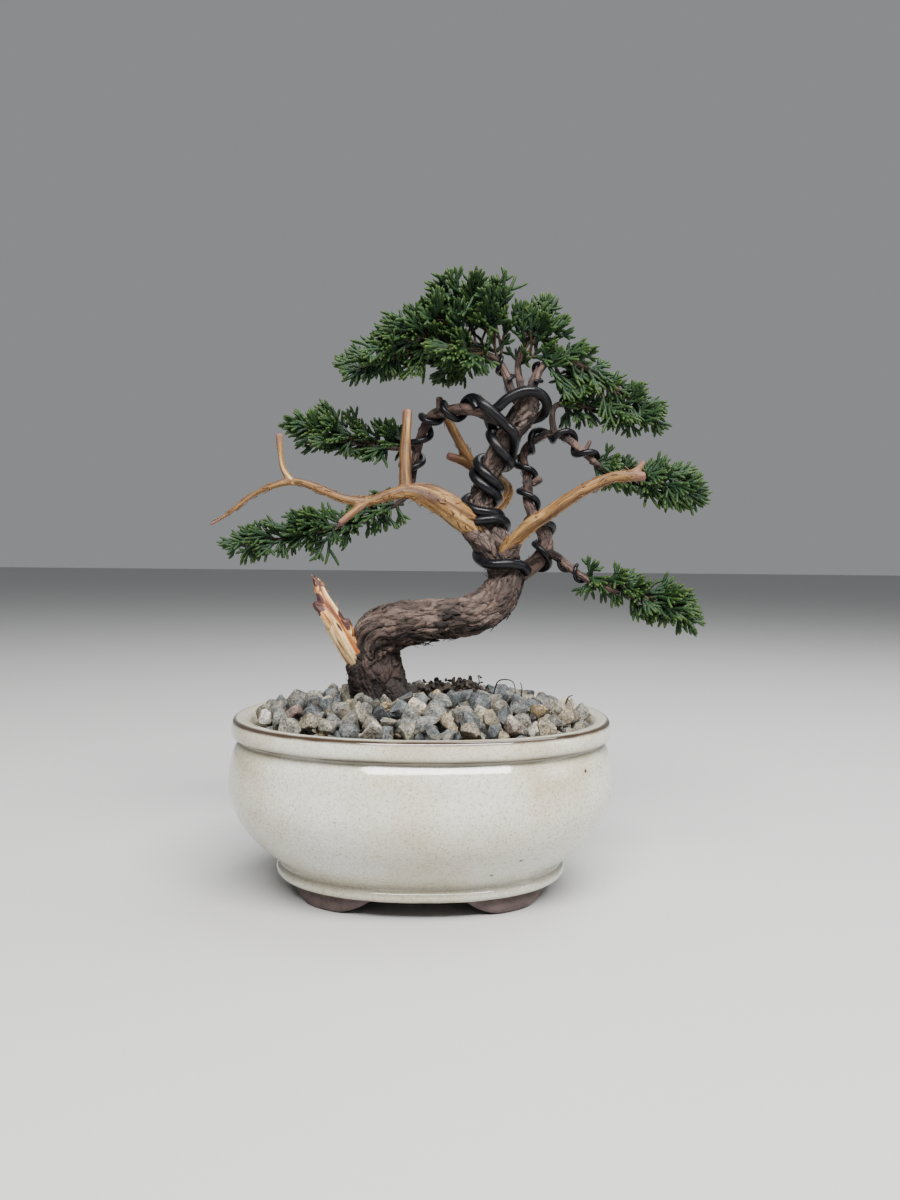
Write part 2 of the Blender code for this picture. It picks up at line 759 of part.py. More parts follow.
apex_left = ("apex_left_branch", "apex_left_wire")
apex_right = ("apex_right_branch", "apex_right_wire")
upper_left = ("upper_left_branch", "upper_left_wire")
right_mid = ("second_stem", "stem_wire")
lower_right = ("lower_right_branch", "lower_right_wire")
spray("foliage_apex_crown", (12, 1, 136.5), (16, 15, 10.5), -4)
spray("foliage_apex_left", (-13, 0, 118.5), (15, 15, 7), -22, *apex_left)
spray("foliage_apex_front", (10, -11.5, 118.5), (11, 9.5, 6), 0, *apex_left)
spray("foliage_apex_back", (9, 15.5, 118), (11.5, 10, 6), 0, *apex_left)
spray("foliage_apex_fan", (38.5, 1, 131), (8, 10, 10.5), 0, "apex_mid_twig")
spray("foliage_upper_right_inner", (50.5, 1, 114), (11, 15, 7), 12, *apex_right)
spray("foliage_upper_right_outer", (69, -1, 102.8), (9.5, 13, 6.8), 14, *apex_right)
spray("foliage_upper_right_low", (52.5, 7, 100.5), (8.5, 10, 4.0), 0, *right_mid)
spray("foliage_right_inner", (65, 4, 77.5), (8, 12, 6), 10, *right_mid)
spray("foliage_right_outer", (83, 0, 76), (9.5, 13, 7.5), 6, *right_mid)
spray("foliage_lower_right_inner", (59.5, -11.5, 43.5), (8, 11, 5.5), 15, *lower_right)
spray("foliage_lower_right_outer", (77.5, -15, 37.5), (9.5, 12, 6.5), 18, *lower_right)
spray("foliage_upper_left_inner", (-14.5, 15, 92.5), (8.3, 13, 7.5), 0, *upper_left)
spray("foliage_upper_left_outer", (-35.5, 12.5, 94), (11.8, 12, 7.5), 4, *upper_left)
spray("foliage_lower_left_inner", (-17.5, 16, 66), (9, 12, 6.5), -10, *upper_left)
spray("foliage_lower_left_middle", (-37, 14, 61), (9, 13, 7), -10, *upper_left)
spray("foliage_lower_left_outer", (-57, 12, 56.5), (9.6, 10, 5.5), -6, *upper_left)
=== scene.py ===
"""A small juniper bonsai in a cream glazed pot: the looks of each piece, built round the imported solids.

Lengths are metres, +Z up. The wood's routes are in millimetres from the middle of the pot's rim.
"""

import math

import bmesh
import bpy
import numpy as np
from mathutils import Matrix, Quaternion, Vector, noise


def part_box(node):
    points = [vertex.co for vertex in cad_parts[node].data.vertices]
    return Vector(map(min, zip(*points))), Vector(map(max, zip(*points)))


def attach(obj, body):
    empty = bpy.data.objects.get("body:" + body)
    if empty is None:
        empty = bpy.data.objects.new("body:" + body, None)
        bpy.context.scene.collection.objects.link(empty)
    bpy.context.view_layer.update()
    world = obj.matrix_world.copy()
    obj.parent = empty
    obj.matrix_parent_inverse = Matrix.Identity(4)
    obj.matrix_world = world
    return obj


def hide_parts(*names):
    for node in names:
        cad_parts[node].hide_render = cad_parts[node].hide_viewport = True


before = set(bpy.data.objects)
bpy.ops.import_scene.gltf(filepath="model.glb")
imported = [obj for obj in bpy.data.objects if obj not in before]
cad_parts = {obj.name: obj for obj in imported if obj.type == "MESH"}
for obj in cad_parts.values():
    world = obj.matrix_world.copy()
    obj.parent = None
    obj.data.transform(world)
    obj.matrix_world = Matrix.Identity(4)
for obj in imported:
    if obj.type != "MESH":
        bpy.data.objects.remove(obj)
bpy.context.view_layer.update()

# ---------------------------------------------------------------- the studio
# The pot stands on a wide pale table top under soft light from above and in front.
# The eye is a little above the pot, close to it, and looks slightly down.


def set_out(name, data):
    """A new object in the scene."""
    thing = bpy.data.objects.new(name, data)
    bpy.context.scene.collection.objects.link(thing)
    return thing


eye = bpy.data.cameras.new("eye")
eye.sensor_fit = "VERTICAL"
eye.sensor_height = 36
eye.lens = 28.05
eye.clip_start = 0.01
viewer = set_out("viewer", eye)
viewer.location = (-0.0039, -0.3112, 0.1076)
viewer.rotation_euler = (math.radians(90 - 2.26), math.radians(-0.54), 0)
bpy.context.scene.camera = viewer

TABLE_REACH = 12.0
table_mesh = bpy.data.meshes.new("table_top")
corners = [(x * TABLE_REACH, y * TABLE_REACH, 0) for x, y in ((-1, -1), (1, -1), (1, 1), (-1, 1))]
table_mesh.from_pydata(corners, [], [(0, 1, 2, 3)])
table_top = set_out("table_top", table_mesh)
table_paint = bpy.data.materials.new("table_paint")
table_paint.use_nodes = True
table_shader = table_paint.node_tree.nodes["Principled BSDF"]
table_shader.inputs["Base Color"].default_value = (0.47, 0.47, 0.465, 1)
table_shader.inputs["Roughness"].default_value = 0.6
table_mesh.materials.append(table_paint)

sky = bpy.data.worlds.new("soft_sky")
sky.use_nodes = True
sky.node_tree.nodes["Background"].inputs["Color"].default_value = (0.80, 0.82, 0.84, 1)
sky.node_tree.nodes["Background"].inputs["Strength"].default_value = 0.33
bpy.context.scene.world = sky


def soft_light(name, place, size, watts, tint):
    """A square soft light that faces the tree."""
    light = bpy.data.lights.new(name, "AREA")
    light.shape = "RECTANGLE"
    light.size, light.size_y = size
    light.energy = watts
    light.color = tint
    lamp = set_out(name, light)
    lamp.location = place
    aim = Vector((0, 0, 0.09)) - Vector(place)
    lamp.rotation_euler = aim.to_track_quat("-Z", "Y").to_euler()


soft_light("window", (0.12, -0.70, 0.92), (1.15, 0.30), 45, (1.0, 0.99, 0.97))
soft_light("overhead", (0.30, 0.20, 0.95), (0.6, 0.6), 9, (0.95, 0.975, 1.0))
soft_light("side_fill", (0.85, -0.25, 0.35), (0.3, 0.5), 1.8, (1.0, 1.0, 1.0))

# ---------------------------------------------------------------- the pot
# One fired piece: a flat lip over a rim band, a tucked neck, a round belly and a foot band.
# A cream speckled glaze covers it, thin and dark on the sharp edges, and its four feet are bare clay.

pot_low, pot_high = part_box("pot")
POT_MIDDLE = np.array([(pot_low.x + pot_high.x) / 2, 0.0, 0.0])
BELLY_OUT = 0.0010
HALF_LENGTH = (pot_high.x - pot_low.x) / 2 - BELLY_OUT
HALF_WIDTH = (pot_high.y - pot_low.y) / 2 - BELLY_OUT
POT_HEIGHT = pot_high.z
PLAN_POWER = 2.2
POT_WALL = 0.0050
RIM_BAND = 0.0063
BASE_IN = 0.0160
SEAT = 0.0058
FOOT_BAND = 0.0044
WAIST = SEAT + FOOT_BAND
NECK = POT_HEIGHT - RIM_BAND - 0.0009


def smooth_line(route, step):
    """Points about one step apart on the smooth curve through a route's own points."""
    points = np.array(route, float)
    padded = np.vstack([2 * points[0] - points[1], points, 2 * points[-1] - points[-2]])
    made = []
    for a, b, c, d in zip(padded, padded[1:], padded[2:], padded[3:]):
        count = max(1, round(float(np.linalg.norm((c - b)[:3])) / step))
        t = (np.arange(count) / count)[:, None]
        bend = (2 * a - 5 * b + 4 * c - d) * t**2 + (3 * b - a - 3 * c + d) * t**3
        made.append(b + 0.5 * ((c - a) * t + bend))
    return np.vstack(made + [points[-1:]])


def mesh_of(name, points, *sheets):
    """A mesh from its points and any number of arrays of faces, each array with one corner count."""
    mesh = bpy.data.meshes.new(name)
    corners = np.concatenate([np.asarray(sheet, np.int32).ravel() for sheet in sheets])
    counts = np.concatenate([np.full(len(sheet), np.shape(sheet)[1]) for sheet in sheets])
    mesh.vertices.add(len(points))
    mesh.vertices.foreach_set("co", np.asarray(points, np.float32).ravel())
    mesh.loops.add(len(corners))
    mesh.loops.foreach_set("vertex_index", corners)
    mesh.polygons.add(len(counts))
    mesh.polygons.foreach_set("loop_start", np.concatenate([[0], np.cumsum(counts)[:-1]]).astype(np.int32))
    mesh.update(calc_edges=True)
    mesh.shade_smooth()
    return mesh


def paint_on(mesh, name, values):
    """Writes one number, or three, for each point of a mesh, for its material to read."""
    kind = "FLOAT" if np.ndim(values) == 1 else "FLOAT_VECTOR"
    layer = mesh.attributes.new(name, kind, "POINT")
    key = "value" if kind == "FLOAT" else "vector"
    layer.data.foreach_set(key, np.asarray(values, np.float32).ravel())


class Heap:
    """Many bits gathered into one mesh. Each bit may bring named numbers for its points."""

    def __init__(self):
        self.points, self.sheets, self.paints, self.count = [], [], {}, 0

    def put(self, points, *sheets, **paints):
        self.points.append(points)
        self.sheets += [sheet + self.count for sheet in sheets]
        for name, values in paints.items():
            even = np.ndim(values) == 0
            self.paints.setdefault(name, []).append(np.full(len(points), values) if even else values)
        self.count += len(points)

    def mesh(self, name):
        mesh = mesh_of(name, np.concatenate(self.points), *self.sheets)
        for label, values in self.paints.items():
            paint_on(mesh, label, np.concatenate(values))
        return mesh


def place_piece(name, mesh, slot, *nodes):
    """Puts a finished mesh in the scene as a piece of the tree or pot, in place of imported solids."""
    piece = set_out(name, mesh)
    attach(piece, "root")
    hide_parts(*nodes)
    return piece


def plan_point(offset, angle):
    """Points of the pot's plan, moved out from the rim's edge by an offset."""
    across = np.abs(np.cos(angle) / (HALF_LENGTH + offset)) ** PLAN_POWER
    along = np.abs(np.sin(angle) / (HALF_WIDTH + offset)) ** PLAN_POWER
    reach = (across + along) ** (-1 / PLAN_POWER)
    return reach * np.cos(angle), reach * np.sin(angle)


BELLY = [(0.06, 0.84), (0.165, 0.57), (0.33, 0.24), (0.49, 0.06), (0.62, 0.0), (0.77, 0.02), (0.91, 0.08)]


def belly_offset(share):
    """How far the glazed side stands off the rim's plan, from the waist (0) to the neck (1)."""
    shares, drops = zip(*([(0.0, 1.0)] + BELLY + [(1.0, 0.2)]))
    return BELLY_OUT - (BASE_IN + BELLY_OUT) * float(np.interp(share, shares, drops))


def side_point(share, inward=0.0):
    """The profile's point at this share of the side's height, or a point this far inside it."""
    return belly_offset(share) - inward, WAIST + share * (NECK - WAIST)


foot_ring = [
    (-BASE_IN - 0.0030, SEAT + 0.0002),
    (-BASE_IN - 0.0008, SEAT - 0.0002),
    (-BASE_IN + 0.0010, SEAT + 0.0006),
    (-BASE_IN + 0.0017, SEAT + FOOT_BAND * 0.45),
    (-BASE_IN + 0.0012, WAIST - 0.0010),
    (-BASE_IN + 0.0003, WAIST - 0.0001),
]
side = [side_point(share) for share, _ in BELLY]
side += [(-0.0021, NECK - 0.0004), (-0.0025, NECK + 0.0003), (-0.0019, NECK + 0.0008)]
band = [
    (-0.0009, POT_HEIGHT - RIM_BAND + 0.0001),
    (-0.0001, POT_HEIGHT - RIM_BAND + 0.0009),
    (0.0001, POT_HEIGHT - RIM_BAND * 0.55),
    (-0.0002, POT_HEIGHT - 0.0014),
    (-0.0007, POT_HEIGHT - 0.0005),
    (-0.0017, POT_HEIGHT),
]
lip = [(-0.0034, POT_HEIGHT - 0.0001), (-0.0048, POT_HEIGHT - 0.0005), (-0.0056, POT_HEIGHT - 0.0017)]
inside = [side_point(share, POT_WALL + 0.0004) for share in (0.95, 0.77, 0.62)]
inside += [side_point(share, POT_WALL) for share in (0.49, 0.33, 0.18)]
inside.append((-BASE_IN - POT_WALL - 0.006, SEAT + 0.0055))
profile = smooth_line(foot_ring + side, 0.0006)
profile = np.vstack([profile, smooth_line(band + lip, 0.0003), smooth_line(inside, 0.002)])

PLAN_STEPS = 224
plan_angles = np.linspace(0, math.tau, PLAN_STEPS, endpoint=False)


def rings_to_quads(rings, steps, closed=False):
    """The faces between neighbouring rings of points."""
    i, j = np.meshgrid(np.arange(rings if closed else rings - 1), np.arange(steps), indexing="ij")
    k, m = (i + 1) % rings, (j + 1) % steps
    corners = (i * steps + j, i * steps + m, k * steps + m, k * steps + j)
    return np.stack(corners, -1).reshape(-1, 4)


def hand_thrown(x, y, z):
    """The slight waver that a hand-finished pot keeps, as an offset."""
    return 0.00022 * noise.noise(Vector((x, y, z)) / 0.035)


body_points = []
for offset, height in profile:
    xs, ys = plan_point(offset, plan_angles)
    waver = [hand_thrown(x, y, height) for x, y in zip(xs, ys)]
    xs, ys = plan_point(offset + np.array(waver), plan_angles)
    body_points.append(np.stack([xs, ys, np.full(PLAN_STEPS, height)], 1))
body_points = np.concatenate(body_points)
body_quads = rings_to_quads(len(profile), PLAN_STEPS)
# The thick floor between the underside's edge and the inside's edge, with a hole through each end
floor = bmesh.new()
floor_rim = [floor.verts.new((x, y, 0)) for x, y in zip(*plan_point(-BASE_IN - 0.0026, plan_angles[::4]))]
bottom_face = floor.faces.new(floor_rim)
raised = bmesh.ops.extrude_face_region(floor, geom=[bottom_face])
lifted = [part for part in raised["geom"] if isinstance(part, bmesh.types.BMVert)]
bmesh.ops.translate(floor, verts=lifted, vec=(0, 0, 0.0052))
bmesh.ops.translate(floor, verts=floor.verts, vec=Vector(POT_MIDDLE) + Vector((0, 0, SEAT + 0.0001)))
bmesh.ops.recalc_face_normals(floor, faces=floor.faces)
floor_mesh = bpy.data.meshes.new("pot_floor")
floor.to_mesh(floor_mesh)
floor.free()

# How thin and dark the glaze is: on the lip's outer edge, the band's lower edge and the foot ring
edge_height = body_points[:, 2]
edge_offset = np.repeat(profile[:, 0], PLAN_STEPS)
uneven = np.array([noise.noise(Vector(point) / 0.006) for point in body_points])


def stripe(height, width):
    """1 on a level round the pot, fading above and below it."""
    return np.exp(-(((edge_height - height) / width) ** 2))


lip_line = stripe(POT_HEIGHT - 0.0006, 0.00058) * (edge_offset > -0.0016)
band_line = stripe(POT_HEIGHT - RIM_BAND + 0.0001, 0.00045) * (edge_offset > -0.004)
foot_line = 0.8 * stripe(SEAT + 0.0003, 0.0005) * (edge_offset < -0.012)
thin_glaze = lip_line * (1.35 + 0.5 * uneven) + band_line * (1.0 + 0.9 * uneven)
thin_glaze = np.clip(thin_glaze + foot_line * (0.7 + 0.9 * uneven), 0, 1)
# Glaze pools darker in the tucked neck and in the waist above the foot, and this darkening also paints the
# shade that falls in those hollows
in_neck = stripe(NECK + 0.0006, 0.0017) * (edge_offset > -0.006)
in_waist = stripe(WAIST - 0.0003, 0.0013) * (edge_offset < -0.012)
pooled = np.clip((0.85 + 0.4 * uneven) * in_neck + 0.5 * in_waist, 0, 1)

WHITE, BLACK = (1, 1, 1), (0, 0, 0)


class Finish:
    """A node material in the making. Its tools add nodes that are already wired, and give their output."""

    def __init__(self, name):
        self.material = bpy.data.materials.new(name)
        self.material.use_nodes = True
        self.tree = self.material.node_tree

    def join(self, node, sockets):
        for socket, value in sockets.items():
            if isinstance(value, bpy.types.NodeSocket):
                self.tree.links.new(value, node.inputs[socket])
            else:
                node.inputs[socket].default_value = value
        return node

    def add(self, kind, sockets, **settings):
        node = self.tree.nodes.new("ShaderNode" + kind)
        for key, value in settings.items():
            setattr(node, key, value)
        return self.join(node, sockets)

    def spot(self):
        """Where a point is on the object."""
        return self.add("TexCoord", {}).outputs["Object"]

    def painted(self, name, output="Fac"):
        return self.add("Attribute", {}, attribute_name=name).outputs[output]

    def noise(self, spot, scale, detail, output="Fac", **more):
        sockets = {"Vector": spot, "Scale": scale, "Detail": detail, **more}
        return self.add("TexNoise", sockets).outputs[output]

    def math(self, operation, first, second, kind="Math"):
        return self.add(kind, {0: first, 1: second}, operation=operation).outputs[0]

    def span(self, value, low, high, to_low=0.0, to_high=1.0):
        sockets = {"From Min": low, "From Max": high, "To Min": to_low, "To Max": to_high}
        return self.add("MapRange", {"Value": value, **sockets}).outputs[0]

    def ramp(self, source, *stops):
        """Colours along a number from 0 to 1."""
        node = self.add("ValToRGB", {"Fac": source})
        elements = node.color_ramp.elements
        while len(elements) < len(stops):
            elements.new(0.5)
        for element, (place, colour) in zip(elements, stops):
            element.position = place
            element.color = (*colour, 1)
        return node.outputs["Color"]

    def mixed(self, share, first, second, blend="MIX"):
        """One colour laid over another."""
        if not isinstance(second, bpy.types.NodeSocket):
            second = (*second, 1)
        sockets = {0: share, 6: first, 7: second}
        node = self.add("Mix", {}, data_type="RGBA", blend_type=blend)
        return self.join(node, sockets).outputs[2]

    def toned(self, share, colour, source, *stops):
        """A colour darkened and lightened by a ramp."""
        return self.mixed(share, colour, self.ramp(source, *stops), "MULTIPLY")

    def bump(self, height, strength, distance, **under):
        sockets = {"Height": height, "Strength": strength, "Distance": distance, **under}
        return self.add("Bump", sockets).outputs["Normal"]

    def done(self, colour, roughness, normal=None, **others):
        """Wires the shader, and gives the material."""
        sockets = {"Base Color": colour, "Roughness": roughness}
        if normal:
            sockets["Normal"] = normal
        sockets.update({key.replace("_", " "): value for key, value in others.items()})
        self.join(self.tree.nodes["Principled BSDF"], sockets)
        return self.material


look = Finish("cream_glaze")
spot = look.spot()
clouds, mottle, flecks = look.noise(spot, 38, 4), look.noise(spot, 900, 3), look.noise(spot, 1900, 2)
cream = look.ramp(clouds, (0.34, (0.45, 0.41, 0.31)), (0.50, (0.53, 0.51, 0.42)), (0.66, (0.57, 0.57, 0.51)))
cream = look.toned(0.55, cream, mottle, (0.38, (0.80, 0.76, 0.66)), (0.52, WHITE))
cream = look.toned(0.8, cream, flecks, (0.32, (0.55, 0.46, 0.34)), (0.44, WHITE))
cells = look.add("TexVoronoi", {"Vector": spot, "Scale": 105.0, "Randomness": 1.0})
near_speck = look.ramp(cells.outputs["Distance"], (0.045, WHITE), (0.085, BLACK))
chosen = look.add("SeparateColor", {"Color": cells.outputs["Color"]}).outputs["Red"]
speck = look.math("MULTIPLY", near_speck, look.math("GREATER_THAN", chosen, 0.80))
# Painted shade in the neck and waist, laid on together with the pooled glaze
cream = look.mixed(look.painted("pooled"), cream, (0.24, 0.215, 0.155))
cream = look.mixed(look.painted("thin_glaze"), cream, (0.034, 0.020, 0.012))
cream = look.mixed(speck, cream, (0.06, 0.035, 0.022))
skin = look.bump(look.noise(spot, 160, 2), 0.07, 0.0006)
pits = look.bump(flecks, 0.05, 0.0002, Normal=skin)
worn = look.span(mottle, 0.3, 0.8, 0.07, 0.16)
glaze = look.done(cream, worn, pits, Coat_Weight=0.35, Coat_Roughness=0.06)

FOOT_FROM, FOOT_TO = math.radians(16), math.radians(67)
FOOT_STEPS = 36
foot_section = [(-0.0020, 1.0), (-0.0015, 0.55), (-0.0018, 0.16), (-0.0024, 0.03), (-0.0034, 0.0)]
foot_section += [(-0.0070, 0.0), (-0.0084, 0.04), (-0.0090, 0.2), (-0.0090, 1.0)]


def foot_points(middle):
    """One foot: a short length of the base ring, flat underneath and rising in an arc to both ends."""
    rows = []
    for t in np.linspace(-1, 1, FOOT_STEPS):
        angle = middle + t * (FOOT_TO - FOOT_FROM) / 2
        rise = max(0.0, (abs(t) - 0.16) / 0.84) ** 1.9
        low = SEAT * rise
        top = SEAT + 0.0010
        for offset, share in foot_section:
            tuck = 0.0012 * rise
            x, y = plan_point(-BASE_IN + offset - tuck, np.array([angle]))
            rough = 0.00012 * noise.noise(Vector((x[0], y[0], share)) / 0.004)
            rows.append((x[0] * (1 + rough * 8), y[0], low + share * (top - low)))
    return np.array(rows)


pot_heap = Heap()
pot_heap.put(body_points + POT_MIDDLE, body_quads, thin_glaze=thin_glaze, pooled=pooled)
arc_middle = (FOOT_FROM + FOOT_TO) / 2
section = len(foot_section)
foot_quads = rings_to_quads(FOOT_STEPS, section)[:, ::-1]
foot_end = np.arange(section)
foot_caps = np.stack([foot_end, (foot_end + (FOOT_STEPS - 1) * section)[::-1]])
for middle in (arc_middle, math.pi - arc_middle, math.pi + arc_middle, -arc_middle):
    pot_heap.put(foot_points(middle) + POT_MIDDLE, foot_quads, foot_caps, thin_glaze=0.0, pooled=0.0)
pot_mesh = pot_heap.mesh("pot_body")

look = Finish("bare_clay")
spot = look.spot()
grog = look.noise(spot, 1400, 4)
scorch = look.noise(spot, 170, 3)
clay_colour = look.ramp(scorch, (0.35, (0.070, 0.048, 0.045)), (0.65, (0.115, 0.080, 0.076)))
clay_colour = look.toned(0.6, clay_colour, grog, (0.35, (0.62, 0.58, 0.55)), (0.6, WHITE))
clay = look.done(clay_colour, 0.8, look.bump(grog, 0.35, 0.0003))

pot_mesh.materials.append(glaze)
pot_mesh.materials.append(clay)
bare = np.zeros(len(pot_mesh.polygons), np.int32)
bare[len(body_quads) :] = 1
pot_mesh.polygons.foreach_set("material_index", bare)
place_piece("pot_body", pot_mesh, "pot", "pot")

pot_floor = place_piece("pot_floor", floor_mesh, "pot", "pot")
floor_mesh.materials.append(clay)
DRAIN_SPREAD, DRAIN_RADIUS = 0.024, 0.006


def worked(thing):
    """A new mesh from an object, with its modifiers carried out."""
    return bpy.data.meshes.new_from_object(thing.evaluated_get(bpy.context.evaluated_depsgraph_get()))


for end in (-1, 1):
    bit = bmesh.new()
    at = Matrix.Translation((POT_MIDDLE[0] + end * DRAIN_SPREAD, 0, SEAT))
    bmesh.ops.create_cone(
        bit, cap_ends=True, segments=40, radius1=DRAIN_RADIUS, radius2=DRAIN_RADIUS, depth=0.03, matrix=at
    )
    bit_mesh = bpy.data.meshes.new("drill")
    bit.to_mesh(bit_mesh)
    bit.free()
    drill = set_out("drill", bit_mesh)
    hole = pot_floor.modifiers.new("drain", "BOOLEAN")
    hole.object = drill
    drilled = worked(pot_floor)
    pot_floor.modifiers.clear()
    pot_floor.data = drilled
    bpy.data.objects.remove(drill)

# ---------------------------------------------------------------- screens and soil
# Two squares of moulded plastic mesh keep the soil off the drain holes. Dark damp soil fills the pot
# up to the gravel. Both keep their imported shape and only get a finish.

look = Finish("screen_plastic")
scuffs = look.noise(look.spot(), 600, 3)
screen_green = look.ramp(scuffs, (0.35, (0.03, 0.085, 0.04)), (0.65, (0.06, 0.14, 0.07)))
screen_plastic = look.done(screen_green, look.span(scuffs, 0.0, 1.0, 0.4, 0.7))

look = Finish("damp_soil")
spot = look.spot()
crumbs = look.add("TexVoronoi", {"Vector": spot, "Scale": 700.0}).outputs["Distance"]
soil_colour = look.ramp(look.noise(spot, 90, 4), (0.35, (0.018, 0.013, 0.010)), (0.7, (0.06, 0.043, 0.032)))
damp_soil = look.done(soil_colour, 0.9, look.bump(crumbs, 0.8, 0.0008))

for node, finish in (
    ("drain_screen_left", screen_plastic),
    ("drain_screen_right", screen_plastic),
    ("soil", damp_soil),
):
    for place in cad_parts[node].material_slots:
        place.material = finish

# ---------------------------------------------------------------- the gravel
# Loose crushed stones, 3 to 9 mm, grey, blue-grey, white, tan and ochre, heaped a little in the middle.
# They are settled as balls under their own weight, then each ball becomes an angular worn stone.

RIM_MIDDLE = POT_MIDDLE + np.array([0, 0, POT_HEIGHT])
BED_EDGE, BED_HEAP = -0.0076, 0.0056
chance = np.random.default_rng(11)


def bed_height(x, y):
    """The soil's top under the stones, from the rim's plane."""
    far = np.sqrt((x / (HALF_LENGTH - 0.006)) ** 2 + (y / (HALF_WIDTH - 0.006)) ** 2)
    return BED_EDGE + BED_HEAP * (1 - np.clip(far, 0, 1) ** 2.5)


STONES = 520
TREE_FOOT = np.array([-0.014, 0.005])
TREE_FOOT_RADIUS = 0.0092
is_small = chance.random(STONES) < 0.3
small = chance.uniform(0.0014, 0.0022, STONES)
ball_radius = np.where(is_small, small, chance.uniform(0.0024, 0.0040, STONES))
ball_angle = chance.uniform(0, math.tau, STONES)
ball_reach = np.sqrt(chance.random(STONES))
balls = np.stack(
    [
        ball_reach * (HALF_LENGTH - 0.009) * np.cos(ball_angle),
        ball_reach * (HALF_WIDTH - 0.009) * np.sin(ball_angle),
        chance.uniform(0.0, 0.03, STONES),
    ],
    1,
)
SETTLING_STEPS = 260
for step in range(SETTLING_STEPS):
    balls[:, 2] -= 0.00035 if step < 180 else 0.0001
    for _ in range(3):
        gap = balls[:, None, :] - balls[None, :, :]
        apart = np.linalg.norm(gap, axis=2) + 1e-9
        push = np.clip(0.94 * (ball_radius[:, None] + ball_radius[None, :]) - apart, 0, None)
        np.fill_diagonal(push, 0)
        balls += 0.42 * (gap / apart[..., None] * push[..., None]).sum(1)
        angle = np.arctan2(balls[:, 1], balls[:, 0])
        wall_x, wall_y = plan_point(-0.0062, angle)
        over = np.hypot(balls[:, 0], balls[:, 1]) + ball_radius - np.hypot(wall_x, wall_y)
        pulled = np.clip(over, 0, None)[:, None]
        balls[:, :2] -= pulled * np.stack([np.cos(angle), np.sin(angle)], 1)
        from_tree = balls[:, :2] - TREE_FOOT
        clear = np.linalg.norm(from_tree, axis=1)
        pushed = np.clip(TREE_FOOT_RADIUS + ball_radius * 0.8 - clear, 0, None)
        balls[:, :2] += from_tree / clear[:, None] * pushed[:, None]
        ground = bed_height(balls[:, 0], balls[:, 1]) + 0.8 * ball_radius
        balls[:, 2] = np.clip(balls[:, 2], ground, ground + 0.0042)


def stone_shape(seed, fine=True):
    """An angular stone of about unit radius, its edges worn round."""
    picked = np.random.default_rng(seed)
    squat = np.array([1.12, picked.uniform(0.85, 1.05), picked.uniform(0.72, 0.95)])
    shape = bmesh.new()
    for corner in picked.normal(size=(picked.integers(11, 18), 3)):
        shape.verts.new(corner / np.linalg.norm(corner) * squat * picked.uniform(0.9, 1.08))
    hull = bmesh.ops.convex_hull(shape, input=shape.verts)
    loose = [part for part in hull["geom_interior"] if isinstance(part, bmesh.types.BMVert)]
    bmesh.ops.delete(shape, geom=loose, context="VERTS")
    bmesh.ops.bevel(
        shape, geom=shape.edges[:], offset=0.13, segments=2, profile=0.55, affect="EDGES", clamp_overlap=True
    )
    bmesh.ops.triangulate(shape, faces=[face for face in shape.faces if len(face.verts) > 4])
    if fine:
        bmesh.ops.subdivide_edges(shape, edges=shape.edges[:], cuts=1, smooth=0.15, use_grid_fill=True)
    for vertex in shape.verts:
        dent = noise.noise(vertex.co * 1.6 + Vector((seed, 0, 0))) * 0.10
        dent += noise.noise(vertex.co * 4.5 + Vector((0, seed, 0))) * 0.035
        vertex.co *= 1 + dent
    bmesh.ops.triangulate(shape, faces=shape.faces[:])
    points = np.array([vertex.co for vertex in shape.verts])
    triangles = np.array([[vertex.index for vertex in face.verts] for face in shape.faces])
    shape.free()
    return points, triangles


stone_shapes = [stone_shape(seed) for seed in range(12)]


def any_turn(picker):
    """A random rotation, as a matrix."""
    return np.array(Quaternion(picker.normal(size=4)).normalized().to_matrix())


OVER_BALL = 1.06  # how much larger a stone is than its ball, so that neighbours touch
gravel = Heap()
for number, (ball, radius) in enumerate(zip(balls, ball_radius)):
    points, triangles = stone_shapes[number % len(stone_shapes)]
    placed = points @ any_turn(chance).T * radius * OVER_BALL + ball + RIM_MIDDLE
    gravel.put(placed, triangles, tone=chance.random(), own_place=points * radius + 0.05 * number)
gravel_mesh = gravel.mesh("gravel_stones")

look = Finish("crushed_stone")
spot = look.painted("own_place", "Vector")
STONE_KINDS = [
    (0.00, (0.031, 0.035, 0.038)), (0.14, (0.062, 0.068, 0.072)), (0.30, (0.102, 0.102, 0.095)),
    (0.42, (0.057, 0.054, 0.049)), (0.54, (0.136, 0.129, 0.111)), (0.64, (0.107, 0.089, 0.060)),
    (0.74, (0.168, 0.161, 0.139)), (0.84, (0.157, 0.110, 0.052)), (0.93, (0.302, 0.292, 0.266)),
    (1.00, (0.119, 0.086, 0.072)),
]
stone_colour = look.ramp(look.painted("tone"), *STONE_KINDS)
veins, crystals = look.noise(spot, 330, 5, Roughness=0.65), look.noise(spot, 1900, 3)
blotch = (0.34, (0.34, 0.33, 0.31)), (0.48, (0.95, 0.95, 0.95)), (0.66, (1.9, 1.85, 1.72))
stone_colour = look.toned(0.8, stone_colour, veins, *blotch)
peppery = (0.36, (0.25, 0.24, 0.23)), (0.48, WHITE), (0.62, (1.7, 1.7, 1.66))
stone_colour = look.toned(0.85, stone_colour, crystals, *peppery)
rusty = look.ramp(look.noise(spot, 150, 2), (0.60, BLACK), (0.76, (0.5, 0.5, 0.5)))
stone_colour = look.mixed(rusty, stone_colour, (0.24, 0.165, 0.085))
grainy = look.bump(crystals, 0.5, 0.0002, Normal=look.bump(veins, 0.8, 0.0008))
stone = look.done(stone_colour, 0.72, grainy)
gravel_mesh.materials.append(stone)
place_piece("gravel_stones", gravel_mesh, "gravel", "gravel_bed")

